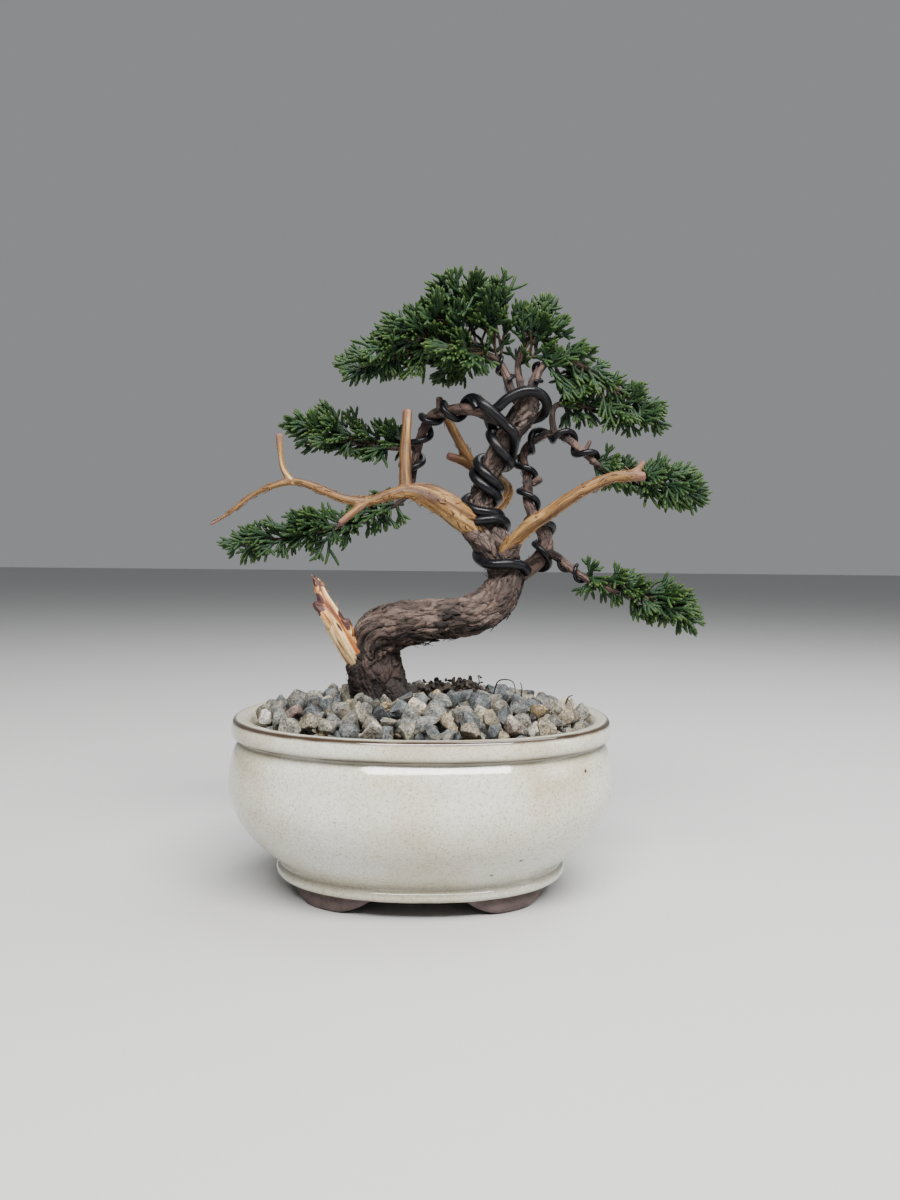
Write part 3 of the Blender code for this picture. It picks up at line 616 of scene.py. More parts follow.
bed_rings, bed_steps = 26, 96
bed_points = []
bed_angles = np.linspace(0, math.tau, bed_steps, endpoint=False)
for share in np.linspace(1.0, 0.02, bed_rings):
    rim_x, rim_y = plan_point(-0.0058, bed_angles)
    xs, ys = rim_x * share, rim_y * share
    lumps = [0.0007 * noise.noise(Vector((x, y, 0)) / 0.003) for x, y in zip(xs, ys)]
    bed_points.append(np.stack([xs, ys, bed_height(xs, ys) + lumps], 1))
bed_points = np.concatenate(bed_points) + RIM_MIDDLE
bed_mesh = mesh_of("soil_top", bed_points, rings_to_quads(bed_rings, bed_steps))
bed_mesh.materials.append(damp_soil)
place_piece("soil_top", bed_mesh, "soil", "gravel_bed")

# ---------------------------------------------------------------- the trunk
# One living trunk in an S, with its root bases, under brown fibrous bark that splits along the grain,
# lifts in thin plates and hangs in flakes underneath. Its top is sawn off and callused.

MILLIMETRE = 0.001


def frames_along(line):
    """At each point of a line, its direction and two directions across it that turn as little as they can."""
    tangents = np.gradient(line, axis=0)
    tangents /= np.linalg.norm(tangents, axis=1)[:, None]
    across = np.array([0.0, -1.0, 0.0])
    fronts = []
    for tangent in tangents:
        across = across - tangent * float(across @ tangent)
        across = across / np.linalg.norm(across)
        fronts.append(across)
    fronts = np.array(fronts)
    return tangents, fronts, np.cross(tangents, fronts)


def sweep(line, radii, sides):
    """Points and faces of a round tube along a line, closed at both ends."""
    _, fronts, sideways = frames_along(line)
    turn = np.linspace(0, math.tau, sides, endpoint=False)
    turn = turn[None, :, None]
    spokes = np.cos(turn) * fronts[:, None, :] + np.sin(turn) * sideways[:, None, :]
    points = (line[:, None, :] + radii[:, None, None] * spokes).reshape(-1, 3)
    ends = np.stack([np.arange(sides)[::-1], (len(line) - 1) * sides + np.arange(sides)])
    return points, rings_to_quads(len(line), sides), ends


def rounded(line, radii, share=0.5):
    """A line and its radii with both ends drawn to a dome."""
    tangents = frames_along(line)[0]
    steps = np.sin(np.linspace(0, math.pi / 2, 5)[1:])
    shrink = np.cos(np.linspace(0, math.pi / 2, 5)[1:]) * 0.98 + 0.02
    head = line[0] - tangents[0] * (steps * radii[0] * share)[:, None]
    tail = line[-1] + tangents[-1] * (steps * radii[-1] * share)[:, None]
    line = np.vstack([head[::-1], line, tail])
    return line, np.concatenate([(radii[0] * shrink)[::-1], radii, radii[-1] * shrink])


def wood_line(route, step=0.8):
    """A limb's centreline and radii in metres, from its route in millimetres."""
    fine = smooth_line(route, step)
    return fine[:, :3] * MILLIMETRE + RIM_MIDDLE, fine[:, 3] * MILLIMETRE


def grown_skin(name, routes, grid):
    """Joins limbs into one skin, with flowing collars where they meet, as a mesh."""
    limbs = Heap()
    for route in routes:
        limbs.put(*sweep(*rounded(*wood_line(route)), 20))
    rough = limbs.mesh(name)
    drawn = set_out(name, rough)
    weave = drawn.modifiers.new("join", "REMESH")
    weave.mode = "VOXEL"
    weave.voxel_size = grid
    ease = drawn.modifiers.new("ease", "SMOOTH")
    ease.iterations = 4
    skin = worked(drawn)
    bpy.data.objects.remove(drawn)
    return skin


def grain_of(points, routes):
    """For each point of a skin, its place along and round its limb, and the limb's radius there."""
    best = np.full(len(points), np.inf)
    grain = np.zeros((len(points), 3))
    thick = np.zeros(len(points))
    for number, route in enumerate(routes):
        line, radii = wood_line(route)
        tangents, fronts, sideways = frames_along(line)
        along = np.concatenate([[0], np.cumsum(np.linalg.norm(np.diff(line, axis=0), axis=1))])
        for part in np.array_split(np.arange(len(points)), 1 + len(points) // 20000):
            gap = points[part][:, None, :] - line[None, :, :]
            score = np.linalg.norm(gap, axis=2) - radii[None, :]
            nearest = score.argmin(1)
            row = np.arange(len(part))
            offset = gap[row, nearest]
            place = along[nearest] + (offset * tangents[nearest]).sum(1)
            angle = np.arctan2((offset * sideways[nearest]).sum(1), (offset * fronts[nearest]).sum(1))
            size = radii[nearest]
            here = np.stack([np.cos(angle) * size, np.sin(angle) * size, place + 0.4 * number], 1)
            closer = score[row, nearest] < best[part]
            chosen = part[closer]
            best[chosen] = score[row, nearest][closer]
            grain[chosen] = here[closer]
            thick[chosen] = size[closer]
    return grain, thick


def noise_over(grain, across, along, shift=0.0):
    """Smooth chance from -1 to 1, with features this wide across the grain and this long along it."""
    scale = Vector((1 / across, 1 / across, 1 / along))
    return np.array([noise.noise(Vector(place) * scale + Vector((shift, 0, 0))) for place in grain])


def step_up(values, low, high):
    """0 below low, 1 above high, smooth between."""
    t = np.clip((values - low) / (high - low), 0, 1)
    return t * t * (3 - 2 * t)


def read_points(mesh, what="co"):
    """The places or normals of a mesh's points, as an array."""
    values = np.empty(len(mesh.vertices) * 3)
    mesh.vertices.foreach_get(what, values)
    return values.reshape(-1, 3)


def raise_bark(skin, routes, coarse):
    """Moves a skin in and out into ridges, plates and lumps, and paints how high each point stands."""
    points, normals = read_points(skin), read_points(skin, "normal")
    grain, thick = grain_of(points, routes)
    # The grain wanders as it runs, and knots push it aside
    wander = np.stack([noise_over(points, 0.006, 0.006, shift) for shift in (50.0, 60.0, 70.0)], 1)
    grain_here = grain + wander * [0.0011, 0.0011, 0.0016]
    fibres = noise_over(grain_here, 0.0010, 0.0055)
    strips = noise_over(grain_here, 0.0027, 0.0095, 3.1)
    plates = step_up(noise_over(grain_here, 0.0046, 0.0085, 7.7), -0.03, 0.04)
    scales = step_up(noise_over(grain_here, 0.0017, 0.0034, 17.7), 0.02, 0.10)
    cracks = -np.clip(0.075 - np.abs(noise_over(grain_here, 0.0040, 0.0125, 12.3)), 0, None) / 0.075
    cross_cracks = -np.clip(0.06 - np.abs(noise_over(grain_here, 0.0050, 0.0042, 21.0)), 0, None) / 0.06
    lumps = noise_over(points, 0.0085, 0.0085, 30.0) + 0.5 * noise_over(points, 0.0042, 0.0042, 33.0)
    height = 0.17 * fibres + 0.22 * strips + 0.30 * plates + 0.20 * scales
    height += 0.60 * cracks + 0.30 * cross_cracks
    size = coarse * np.clip(thick / 0.007, 0.22, 1.0)
    raised = (height * size + 0.85 * lumps * size) * MILLIMETRE
    skin.vertices.foreach_set("co", (points + normals * raised[:, None]).ravel())
    skin.update()
    paint_on(skin, "grain", grain)
    paint_on(skin, "relief", np.clip(0.42 + 0.60 * height + 0.12 * plates, 0, 1))


trunk_route = [
    (-14, 5, -10, 9.2), (-14, 5, -4, 9.6), (-14, 5, 4, 9.3), (-16, 4.5, 12, 9.2), (-17, 3.5, 20, 8.4),
    (-15, 2, 26, 8.0), (-8, 0, 29.3, 7.6), (2.5, -3, 31, 6.8), (15, -4, 33, 6.1), (23.5, -3, 37.5, 6.0),
    (27.3, -1, 45, 5.7), (25.3, 0, 53, 5.5), (21.8, 1, 59.5, 5.1), (19, 2, 66, 4.2), (19.5, 2, 73, 3.6),
    (22, 1, 81, 3.3), (25, 0, 88, 3.5), (28.6, 0, 94, 3.8), (32.6, -1, 100, 4.0), (34.2, -2, 104.5, 3.9),
]
root_routes = [
    [
        (26, 0.5, 48, 4.2), (22.6, -0.4, 54, 4.3), (18.6, -0.6, 58.6, 4.0), (15.0, -1.6, 61.6, 3.0),
        (12.4, -2.6, 63.4, 2.0),
    ],
    [(26, -1, 46, 4.0), (27.6, -2.6, 50.5, 3.4), (29, -5.2, 54.6, 2.6), (30.4, -6.8, 57.2, 1.8)],
    [(-13, 1, 10, 5), (-7, -1, 4, 3.4), (-2, -2, -1, 2.6), (2, -2, -8, 2)],
    [(-13, 6, 6, 5), (-6, 7, 5, 3), (1, 7, 6.4, 2.0), (8, 9, 6.2, 1.8), (16, 11, 7.6, 1.8), (20, 12, 3, 1.4)],
    [(-16, 5, 4, 6), (-22, 8, -2, 3.6), (-27, 10, -8, 2.2)],
    [(-14, 8, 4, 6), (-13, 15, -2, 3.8), (-11, 20, -8, 2.2)],
]


def finish_wood(name, skin, finish, slot, *nodes):
    skin.shade_smooth()
    skin.materials.clear()
    skin.materials.append(finish)
    place_piece(name, skin, slot, *nodes)


FLAKE_ROWS = 5
FLAKE_THICK = 0.00016


def bark_flakes(name, route, count, longest, seed, finish, slot, node, under=0.5, broad=0.9):
    """Thin strips of bark that have come loose at one end, lying along the grain, as a piece of their own."""
    picker = np.random.default_rng(seed)
    reliefs = np.random.default_rng(seed + 1).uniform(0.15, 0.85, count)
    line, radii = wood_line(route)
    tangents, fronts, sideways = frames_along(line)
    flakes = Heap()
    for relief in reliefs:
        spot = picker.integers(4, len(line) - 4)
        angle = picker.uniform(0, math.tau)
        down = math.cos(angle) * fronts[spot][2] + math.sin(angle) * sideways[spot][2]
        if down > 0.2 and picker.random() < under:
            angle += math.pi
        long = picker.uniform(0.3, 1.0) * longest * MILLIMETRE
        wide = picker.uniform(0.3, 1.0) ** 1.5 * broad * MILLIMETRE * min(1.0, radii[spot] / 0.004)
        lift = picker.uniform(0.2, 1.0) ** 2 * 1.5 * MILLIMETRE * min(1.0, radii[spot] / 0.005)
        way = 1 if picker.random() < 0.6 else -1
        twist = picker.uniform(-0.5, 0.5)
        rows = []
        for t in np.linspace(0, 1, FLAKE_ROWS):
            at = int(np.clip(round(spot + way * t * long / 0.0008), 0, len(line) - 1))
            moved = line[at] - line[spot]
            step = line[spot] + moved + tangents[spot] * (way * t * long - moved @ tangents[spot])
            half = wide * (1 - 0.75 * t**2) / 2
            turned = angle + twist * t
            out = math.cos(turned) * fronts[at] + math.sin(turned) * sideways[at]
            flat = np.cross(tangents[at], out) * half
            base = step + out * (radii[at] + (0.10 - 0.35 * (t == 0)) * MILLIMETRE + lift * t**1.7)
            up = out * FLAKE_THICK
            rows += [base - flat, base + flat, base + flat + up, base - flat + up]
        place = [(wide * i, 0.3, 0.001 * i + picker.random()) for i in range(len(rows))]
        last = len(rows) - 1
        ends = np.array([[0, 1, 2, 3], [last, last - 1, last - 2, last - 3]])
        quads = rings_to_quads(FLAKE_ROWS, 4)[:, ::-1]
        flakes.put(np.array(rows), quads, ends, grain=np.array(place), relief=relief)
    finish_wood(name, flakes.mesh(name), finish, slot, node)


trunk_limbs = [trunk_route] + root_routes
trunk_skin = grown_skin("trunk_bark", trunk_limbs, 0.00036)
raise_bark(trunk_skin, trunk_limbs, 1.45)

look = Finish("juniper_bark")
grain = look.painted("grain", "Vector")
drawn_out = look.add("Mapping", {"Vector": grain, "Scale": (1.0, 1.0, 0.34)}).outputs["Vector"]
threads = look.noise(drawn_out, 1700, 6, Roughness=0.65)
BARK_TONES = [(0.006, 0.004, 0.003), (0.034, 0.021, 0.017), (0.062, 0.041, 0.033), (0.118, 0.084, 0.069)]
bark_colour = look.ramp(look.painted("relief"), *zip((0.14, 0.34, 0.60, 0.95), BARK_TONES))
ruddy = (0.35, (0.78, 0.66, 0.60)), (0.52, WHITE), (0.70, (1.30, 1.30, 1.30))
bark_colour = look.toned(0.8, bark_colour, look.noise(drawn_out, 330, 4), *ruddy)
streaks = (0.34, (0.42, 0.36, 0.33)), (0.50, WHITE), (0.68, (1.45, 1.42, 1.40))
bark_colour = look.toned(0.60, bark_colour, threads, *streaks)
bent = look.noise(drawn_out, 240, 3, "Color")
bent = look.math("SUBTRACT", bent, (0.5, 0.5, 0.5), "VectorMath")
bent = look.math("MULTIPLY", bent, (0.0068, 0.0068, 0.0060), "VectorMath")
bent = look.math("ADD", drawn_out, bent, "VectorMath")
plates = {"Vector": bent, "Scale": 330.0}
plate = look.add("TexVoronoi", plates, feature="DISTANCE_TO_EDGE").outputs["Distance"]
split = (0.0, (0.20, 0.16, 0.15)), (0.03, (0.62, 0.58, 0.56)), (0.09, WHITE)
bark_colour = look.toned(0.62, bark_colour, plate, *split)
plate_tint = look.add("TexVoronoi", plates).outputs["Color"]
plate_tint = look.add("SeparateColor", {"Color": plate_tint}).outputs["Red"]
plate_tones = (0.0, (0.74, 0.70, 0.68)), (0.5, WHITE), (1.0, (1.30, 1.30, 1.28))
bark_colour = look.toned(0.8, bark_colour, plate_tint, *plate_tones)
# The bark is darker the lower it is, towards the soil
height = look.add("SeparateXYZ", {"Vector": look.spot()}).outputs["Z"]
low_on_trunk = look.span(height, POT_HEIGHT + 0.003, POT_HEIGHT + 0.030)
darker_near_soil = (0.0, (0.10, 0.08, 0.08)), (0.42, (0.40, 0.30, 0.28)), (1.0, WHITE)
bark_colour = look.toned(1.0, bark_colour, low_on_trunk, *darker_near_soil)
lifted_plate = look.bump(look.span(plate, 0.0, 0.12), 0.7, 0.0005)
bark = look.done(bark_colour, 0.82, look.bump(threads, 0.8, 0.0006, Normal=lifted_plate))

finish_wood("trunk_bark", trunk_skin, bark, "bark", "trunk")
bark_flakes("trunk_flakes", trunk_route, 320, 4.6, 5, bark, "bark", "trunk", 0.93, 1.5)
bark_flakes("trunk_plates", trunk_route, 260, 6.0, 6, bark, "bark", "trunk", 0.5, 3.4)

# Dark crumbs of soil and fine roots lie over the root that runs to the right
debris_picker = np.random.default_rng(71)
crumb_heap = Heap()
crumb_shapes = [stone_shape(seed, False) for seed in range(20, 25)]
root_line, root_radii = wood_line(root_routes[3])
for number in range(230):
    points, triangles = crumb_shapes[number % len(crumb_shapes)]
    row = debris_picker.integers(len(root_line) // 3, len(root_line))
    size = debris_picker.uniform(0.0004, 0.0013)
    spread = debris_picker.normal(size=3) * [0.0020, 0.0020, 0.0012]
    place = root_line[row] + spread + [0, 0, root_radii[row] * 0.5]
    crumb_heap.put(points @ any_turn(debris_picker).T * size + place, triangles)
crumb_mesh = crumb_heap.mesh("root_crumbs")
crumb_mesh.materials.append(damp_soil)
place_piece("root_crumbs", crumb_mesh, "soil", "gravel_bed")
hairs = Heap()
for hair in (
    [(24, 8, 4.5, 0), (25.5, 8, 9.5, 0), (28.5, 8, 10.4, 0), (31, 8, 9.2, 0), (32, 8, 4.5, 0)],
    [(18.5, 9, 6, 0), (19.2, 9, 9.8, 0), (18.6, 9, 11.6, 0)],
    [(33.4, 7, 4, 0), (33.8, 7, 7.6, 0), (33.2, 7, 9.6, 0)],
    [(48.5, 5, 2.5, 0), (49.5, 5, 5.0, 0), (51, 5, 5.6, 0)],
):
    hair_line = wood_line(hair, 0.6)[0]
    tube, quads, caps = sweep(hair_line, np.linspace(0.00030, 0.00016, len(hair_line)), 6)
    hairs.put(tube, quads, caps, grain=tube, relief=0.3)
finish_wood("root_hairs", hairs.mesh("root_hairs"), bark, "bark", "trunk")

# ---------------------------------------------------------------- the dead branches
# Branches stripped of bark and left to dry: pale golden wood, fibrous, with darker lines along the
# grain, brown broken tips and fine torn fibres. The one at the base is freshly split.

base_jin_routes = [
    [
        (-19.5, 2, 14, 3.4), (-24.5, -2, 22, 3.5), (-28, -4, 28.5, 3.4), (-31.5, -5, 36, 2.5),
        (-35.5, -5, 45, 0.9),
    ],
    [(-27, -3.5, 26, 2.6), (-31.5, -6, 32.5, 2.1), (-35, -7, 36.5, 1.1)],
    [(-24.6, -2.5, 23.5, 2.2), (-24.2, -3.5, 27.5, 1.6), (-25.0, -4.4, 31.2, 1.0)],
]
left_jin_routes = [
    [
        (24.5, 2.5, 53.5, 2.4), (21.0, 1.6, 58, 3.6), (16.6, -0.6, 62.3, 4.3), (12, -3.4, 65.5, 4.2),
        (6, -6, 69, 3.6), (0.5, -8, 71.5, 2.9), (-5, -9, 73, 2.4), (-10, -10, 72, 1.9), (-16, -11, 70, 1.6),
        (-21, -12, 69.5, 1.6), (-26, -12.5, 70.5, 1.4), (-31, -13, 72.5, 1.3), (-37, -14, 74.8, 1.2),
        (-42, -14, 75.5, 1.2), (-48.5, -15, 73.5, 1.0), (-54.5, -15, 70.5, 0.8), (-60.5, -16, 65.5, 0.7),
        (-66.5, -17, 61.5, 0.45),
    ],
    [(-5.5, -9, 72.5, 2.2), (-6, -8, 80, 2.0), (-6, -7, 88, 1.8), (-5.5, -7, 99, 1.5)],
    [(-41, -14, 75, 1.2), (-44, -14, 79, 1.0), (-45, -14, 83.5, 0.9), (-45.5, -14, 90, 1.2)],
    [(-17.5, -11.5, 70, 1.4), (-22.5, -14, 65.5, 1.2), (-26, -15, 62.5, 1.0)],
    [(16, 0, 63, 4.0), (9, 2, 69, 3.6), (3, 1, 73, 3.2), (-3, -5, 74, 2.4)],
]
right_jin_routes = [
    [
        (24.5, 1, 50.5, 2.0), (27, -3.4, 54, 2.7), (30.0, -6.8, 57.8, 2.5), (35, -11, 63, 2.3),
        (40.5, -13, 66.5, 2.1), (49, -17, 72.5, 2.0), (58.5, -19, 77, 1.8), (64, -20, 77.5, 1.8),
        (68.5, -21, 77.5, 1.5),
    ],
    [(63, -20, 77.5, 1.3), (66.5, -20, 79.5, 1.1), (68.5, -20, 82, 0.7)],
]
rear_jin_routes = [
    [
        (19.5, 4, 61, 2.6), (23, 11, 67, 2.2), (27, 14, 71.5, 2.1), (28.5, 15, 75.5, 2.1),
        (26, 16, 79, 2.1), (22, 16, 80.5, 2.0), (17.5, 15, 83, 1.9), (14, 14, 88, 1.8), (10.5, 13, 94, 1.7),
        (6, 12, 102, 1.4),
    ],
    [(16.5, 15, 83.5, 1.7), (12.5, 14, 85.5, 1.6), (8, 13, 87, 1.4)],
]


def raise_deadwood(skin, routes, torn):
    """Fine grooves along the grain and slow swellings. Paints the grooves, and where the wood is brown."""
    points, normals = read_points(skin), read_points(skin, "normal")
    grain, thick = grain_of(points, routes)
    fibres = noise_over(grain, 0.00055, 0.009)
    grooves = -np.clip(0.10 - np.abs(noise_over(grain, 0.0017, 0.030, 4.0)), 0, None) / 0.10
    swell = noise_over(grain, 0.006, 0.008, 9.0)
    height = 0.35 * fibres + 0.55 * grooves
    ribs = noise_over(grain, 0.0013, 0.016, 6.0)
    raised = (height * 0.30 * torn + 0.16 * ribs * torn + 0.14 * swell * thick / MILLIMETRE) * MILLIMETRE
    skin.vertices.foreach_set("co", (points + normals * raised[:, None]).ravel())
    skin.update()
    paint_on(skin, "grain", grain)
    paint_on(skin, "relief", np.clip(0.6 + 0.6 * height, 0, 1))
    brown = np.zeros(len(points))
    for route in routes:
        tip = wood_line(route)[0][-1]
        far = np.linalg.norm(points - tip, axis=1)
        brown = np.maximum(brown, np.exp(-((far / (0.0024 + 0.0008 * torn)) ** 2)))
    root = wood_line(routes[0])[0][0]
    brown = np.maximum(brown, 0.8 * np.exp(-((np.linalg.norm(points - root, axis=1) / 0.006) ** 2)))
    paint_on(skin, "brown", np.clip(brown + 0.5 * brown * noise_over(grain, 0.0015, 0.006, 2.0), 0, 1))


def begin_wood(name, draw, threads, tints, tones, lines, grooves):
    """A finish for bare wood, begun: threads and tints drawn out along its grain, darker in the grooves."""
    look = Finish(name)
    grain = look.painted("grain", "Vector")
    drawn_out = look.add("Mapping", {"Vector": grain, "Scale": (1.0, 1.0, draw)}).outputs["Vector"]
    threads = look.noise(drawn_out, threads, 5, Roughness=0.6)
    tints = look.noise(drawn_out, **tints)
    colour = look.toned(0.8, look.ramp(tints, *tones), threads, *lines)
    colour = look.toned(1.0, colour, look.painted("relief"), *grooves)
    return look, grain, threads, tints, colour


GOLDS = (0.050, 0.020, 0.005), (0.120, 0.053, 0.011), (0.172, 0.086, 0.020), (0.36, 0.225, 0.085)
look, grain, threads, tints, gold = begin_wood(
    "bare_deadwood",
    draw=0.06,
    threads=2300,
    tints=dict(scale=420, detail=3),
    tones=zip((0.34, 0.45, 0.56, 0.70), GOLDS),
    lines=((0.36, (0.34, 0.25, 0.19)), (0.49, WHITE), (0.64, (1.5, 1.5, 1.55))),
    grooves=((0.15, (0.40, 0.30, 0.22)), (0.50, WHITE)),
)
gold = look.mixed(look.painted("brown"), gold, (0.13, 0.055, 0.035))
specks = look.ramp(look.noise(grain, 1100, 2), (0.66, BLACK), (0.72, (0.55, 0.55, 0.55)))
gold = look.mixed(specks, gold, (0.20, 0.10, 0.05))
deadwood = look.done(gold, 0.62, look.bump(threads, 0.45, 0.0003))

FLESH = (0.11, 0.026, 0.006), (0.34, 0.11, 0.020), (0.52, 0.27, 0.075), (0.68, 0.50, 0.26)
look, grain, threads, tints, flesh = begin_wood(
    "split_wood",
    draw=0.08,
    threads=1700,
    tints=dict(scale=520, detail=4, Distortion=0.4),
    tones=zip((0.35, 0.43, 0.51, 0.60), FLESH),
    lines=((0.36, (0.50, 0.36, 0.26)), (0.50, WHITE)),
    grooves=((0.20, (0.30, 0.17, 0.10)), (0.50, WHITE)),
)
rag = look.ramp(look.math("ADD", tints, look.painted("brown")), (0.93, BLACK), (1.0, WHITE))
flesh = look.mixed(rag, flesh, (0.046, 0.012, 0.009))
split_wood = look.done(flesh, 0.6, look.bump(threads, 0.6, 0.0004))


def splinters(name, routes, spots, count, seed, finish, node):
    """Fine torn fibres that stand out from bare wood near given places along its first limb."""
    picker = np.random.default_rng(seed)
    line, radii = wood_line(routes[0])
    tangents, fronts, sideways = frames_along(line)
    fibres = Heap()
    for _ in range(count):
        at = int(np.clip(picker.choice(spots) * len(line) + picker.normal() * 3, 1, len(line) - 2))
        angle = picker.uniform(0, math.tau)
        out = math.cos(angle) * fronts[at] + math.sin(angle) * sideways[at]
        way = tangents[at] * (1 if picker.random() < 0.5 else -1)
        long = picker.uniform(0.6, 2.4) * MILLIMETRE
        lean = picker.uniform(0.2, 1.0)
        base = line[at] + out * radii[at] * 0.92
        t = np.linspace(0, 1, 4)[:, None]
        hair = base + (way * t + out * lean * t**1.5) * long
        tube, quads, caps = sweep(hair, np.linspace(0.00013, 0.00003, 4), 4)
        fibres.put(tube, quads, caps, grain=tube, relief=0.6, brown=0.25)
    finish_wood(name, fibres.mesh(name), finish, "deadwood", node)


DEADWOOD_GRID = 0.00036
for name, routes, finish, torn in (
    ("base_jin", base_jin_routes, split_wood, 2.0),
    ("left_jin", left_jin_routes, deadwood, 1.0),
    ("right_jin", right_jin_routes, deadwood, 1.0),
    ("rear_jin", rear_jin_routes, deadwood, 1.0),
):
    skin = grown_skin(name, routes, DEADWOOD_GRID)
    raise_deadwood(skin, routes, torn)
    finish_wood(name + "_wood", skin, finish, "deadwood", name)
SHREDS = [("left_jin", left_jin_routes, 150), ("right_jin", right_jin_routes, 90)]
SHREDS += [("rear_jin", rear_jin_routes, 60)]
for seed, (name, routes, count) in enumerate(SHREDS, 60):
    bark_flakes(name + "_shreds", routes[0], count, 3.2, seed, deadwood, "deadwood", name, 0.0)
splinters("left_jin_fibres", left_jin_routes, (0.12, 0.3, 0.42, 0.5), 90, 21, deadwood, "left_jin")
splinters("right_jin_fibres", right_jin_routes, (0.08, 0.15, 0.9), 50, 22, deadwood, "right_jin")
splinters("base_jin_fibres", base_jin_routes, (0.3, 0.6, 0.95), 60, 23, split_wood, "base_jin")

# ---------------------------------------------------------------- stems and branches
# The living second stem and the branches: thin scaly brown bark, knots, and short cut stubs.

TWIG_TONES = [(0.006, 0.003, 0.003), (0.022, 0.012, 0.010), (0.048, 0.026, 0.021), (0.110, 0.070, 0.056)]

second_stem_routes = [
    [
        (26.5, -0.5, 42, 3.4), (31, 1.5, 46, 3.0), (35, 3, 48.5, 2.8), (39, 4, 52, 2.7), (41, 4, 56.5, 2.6),
        (40, 4, 61.5, 2.3), (37, 4, 66, 2.0), (35, 6, 71, 1.7), (35, 8, 76.5, 1.6), (34.5, 9, 81.5, 1.5),
        (33.5, 9.5, 85.5, 1.4), (34, 9, 89, 1.3), (36.5, 8, 91.5, 1.3), (40, 6, 93.5, 1.3),
        (44, 4, 93.7, 1.3), (48, 2, 91.5, 1.2), (52, 1, 88, 1.1), (56, 0, 84.3, 1.0), (61, 0, 81, 0.9),
        (68, 0, 78.5, 0.7), (79, -1, 76.5, 0.5),
    ],
    [(43.5, 4, 93, 1.2), (42.5, 4, 99, 1.0), (43.5, 5, 103, 0.9), (48, 5, 104, 0.8), (57, 5, 102.5, 0.6)],
    [(36.5, 4.5, 77, 1.1), (38.6, 3.5, 78.5, 1.3)],
    [(53, 1, 87, 0.7), (55, 1, 91, 0.6)],
]
lower_right_routes = [
    [
        (40.5, 3.4, 54.6, 1.5), (44.5, 0.2, 52.4, 1.4), (47, -3, 50, 1.3), (50, -6, 47.5, 1.2),
        (54, -9, 44.8, 1.0), (59, -11, 42.5, 0.9), (66, -14, 40, 0.7), (75, -16, 36.5, 0.5),
    ],
]
upper_left_routes = [
    [
        (27, -1, 96, 1.8), (24, -3.5, 97.2, 2.2), (20, -4, 99, 2.1), (16, -4, 100.3, 2.0),
        (11.5, -2, 100.6, 1.9), (7, 1, 100.2, 1.8), (3, 5, 100, 1.7), (0.5, 9, 97.5, 1.7),
        (-1.5, 11, 93.5, 1.6), (-3, 13, 88.5, 1.5), (-4, 14, 82.5, 1.3), (-5, 15, 76.5, 1.1),
        (-8, 16, 72, 1.0), (-14, 16, 68.5, 0.9), (-23, 15, 65, 0.8), (-33, 14, 61.5, 0.7),
        (-47, 13, 58, 0.5), (-54, 12.5, 57, 0.4),
    ],
    [
        (-1, 10.5, 94, 1.1), (-5, 13, 90, 0.9), (-10, 14.5, 89.5, 0.8), (-20, 14, 90.5, 0.7),
        (-33, 12, 92, 0.5),
    ],
    [(5.5, 2.2, 99.8, 1.5), (4.7, 2.5, 104.8, 1.2)],
    [(20, -4, 99.5, 1.5), (17.5, -4, 104.3, 1.2)],
]
apex_left_routes = [
    [
        (31.5, -0.5, 102.5, 1.9), (28.5, 0, 107, 1.6), (26.5, 1, 113, 1.4), (24, 1, 116.8, 1.3),
        (19.5, 2, 119.5, 1.2), (12.5, 3, 121, 1.1), (4.5, 3, 121.5, 0.9), (-4, 2, 119.5, 0.8),
        (-20, 0, 115, 0.5),
    ],
]
apex_mid_routes = [
    [(32.6, -1.6, 103, 1.5), (31.5, 2, 110, 1.2), (30.8, 3, 117, 1.0), (33, 3, 123, 0.8), (37, 2, 131, 0.5)],
]
apex_right_routes = [
    [
        (33.2, -1.6, 102, 1.8), (35.5, 0.5, 109, 1.6), (38, 1, 114.5, 1.4), (42, 1, 117.5, 1.2),
        (47, 1, 117.6, 1.0), (54, 1, 115, 0.8), (61, 0, 110, 0.7), (71, -1, 103.5, 0.5),
    ],
]
twig_bark = bark.copy()
twig_bark.name = "juniper_twig_bark"
for node in twig_bark.node_tree.nodes:
    if node.bl_idname == "ShaderNodeValToRGB" and len(node.color_ramp.elements) == 4:
        for element, tint in zip(node.color_ramp.elements, TWIG_TONES):
            element.color = (*tint, 1)
for seed, (node, routes) in enumerate(
    (
        ("second_stem", second_stem_routes),
        ("lower_right_branch", lower_right_routes),
        ("upper_left_branch", upper_left_routes),
        ("apex_left_branch", apex_left_routes),
        ("apex_mid_twig", apex_mid_routes),
        ("apex_right_branch", apex_right_routes),
    ),
    40,
):
    skin = grown_skin(node, routes, 0.00034)
    raise_bark(skin, routes, 1.0)
    finish_wood(node + "_bark", skin, twig_bark, "twig_bark", node)
    flakes = len(routes[0]) * 4
    bark_flakes(node + "_flakes", routes[0], flakes, 2.5, seed, twig_bark, "twig_bark", node, 0.3)

# ---------------------------------------------------------------- the training wires
# Soft aluminium wire, anodised nearly black, wound by hand round the trunk and branches to hold
# their bends. It was snipped square at its ends, and handling has dulled it here and there.

WIRE, THIN_WIRE, FINE_WIRE = 0.0034, 0.0022, 0.0013
TURN_POINTS = 26


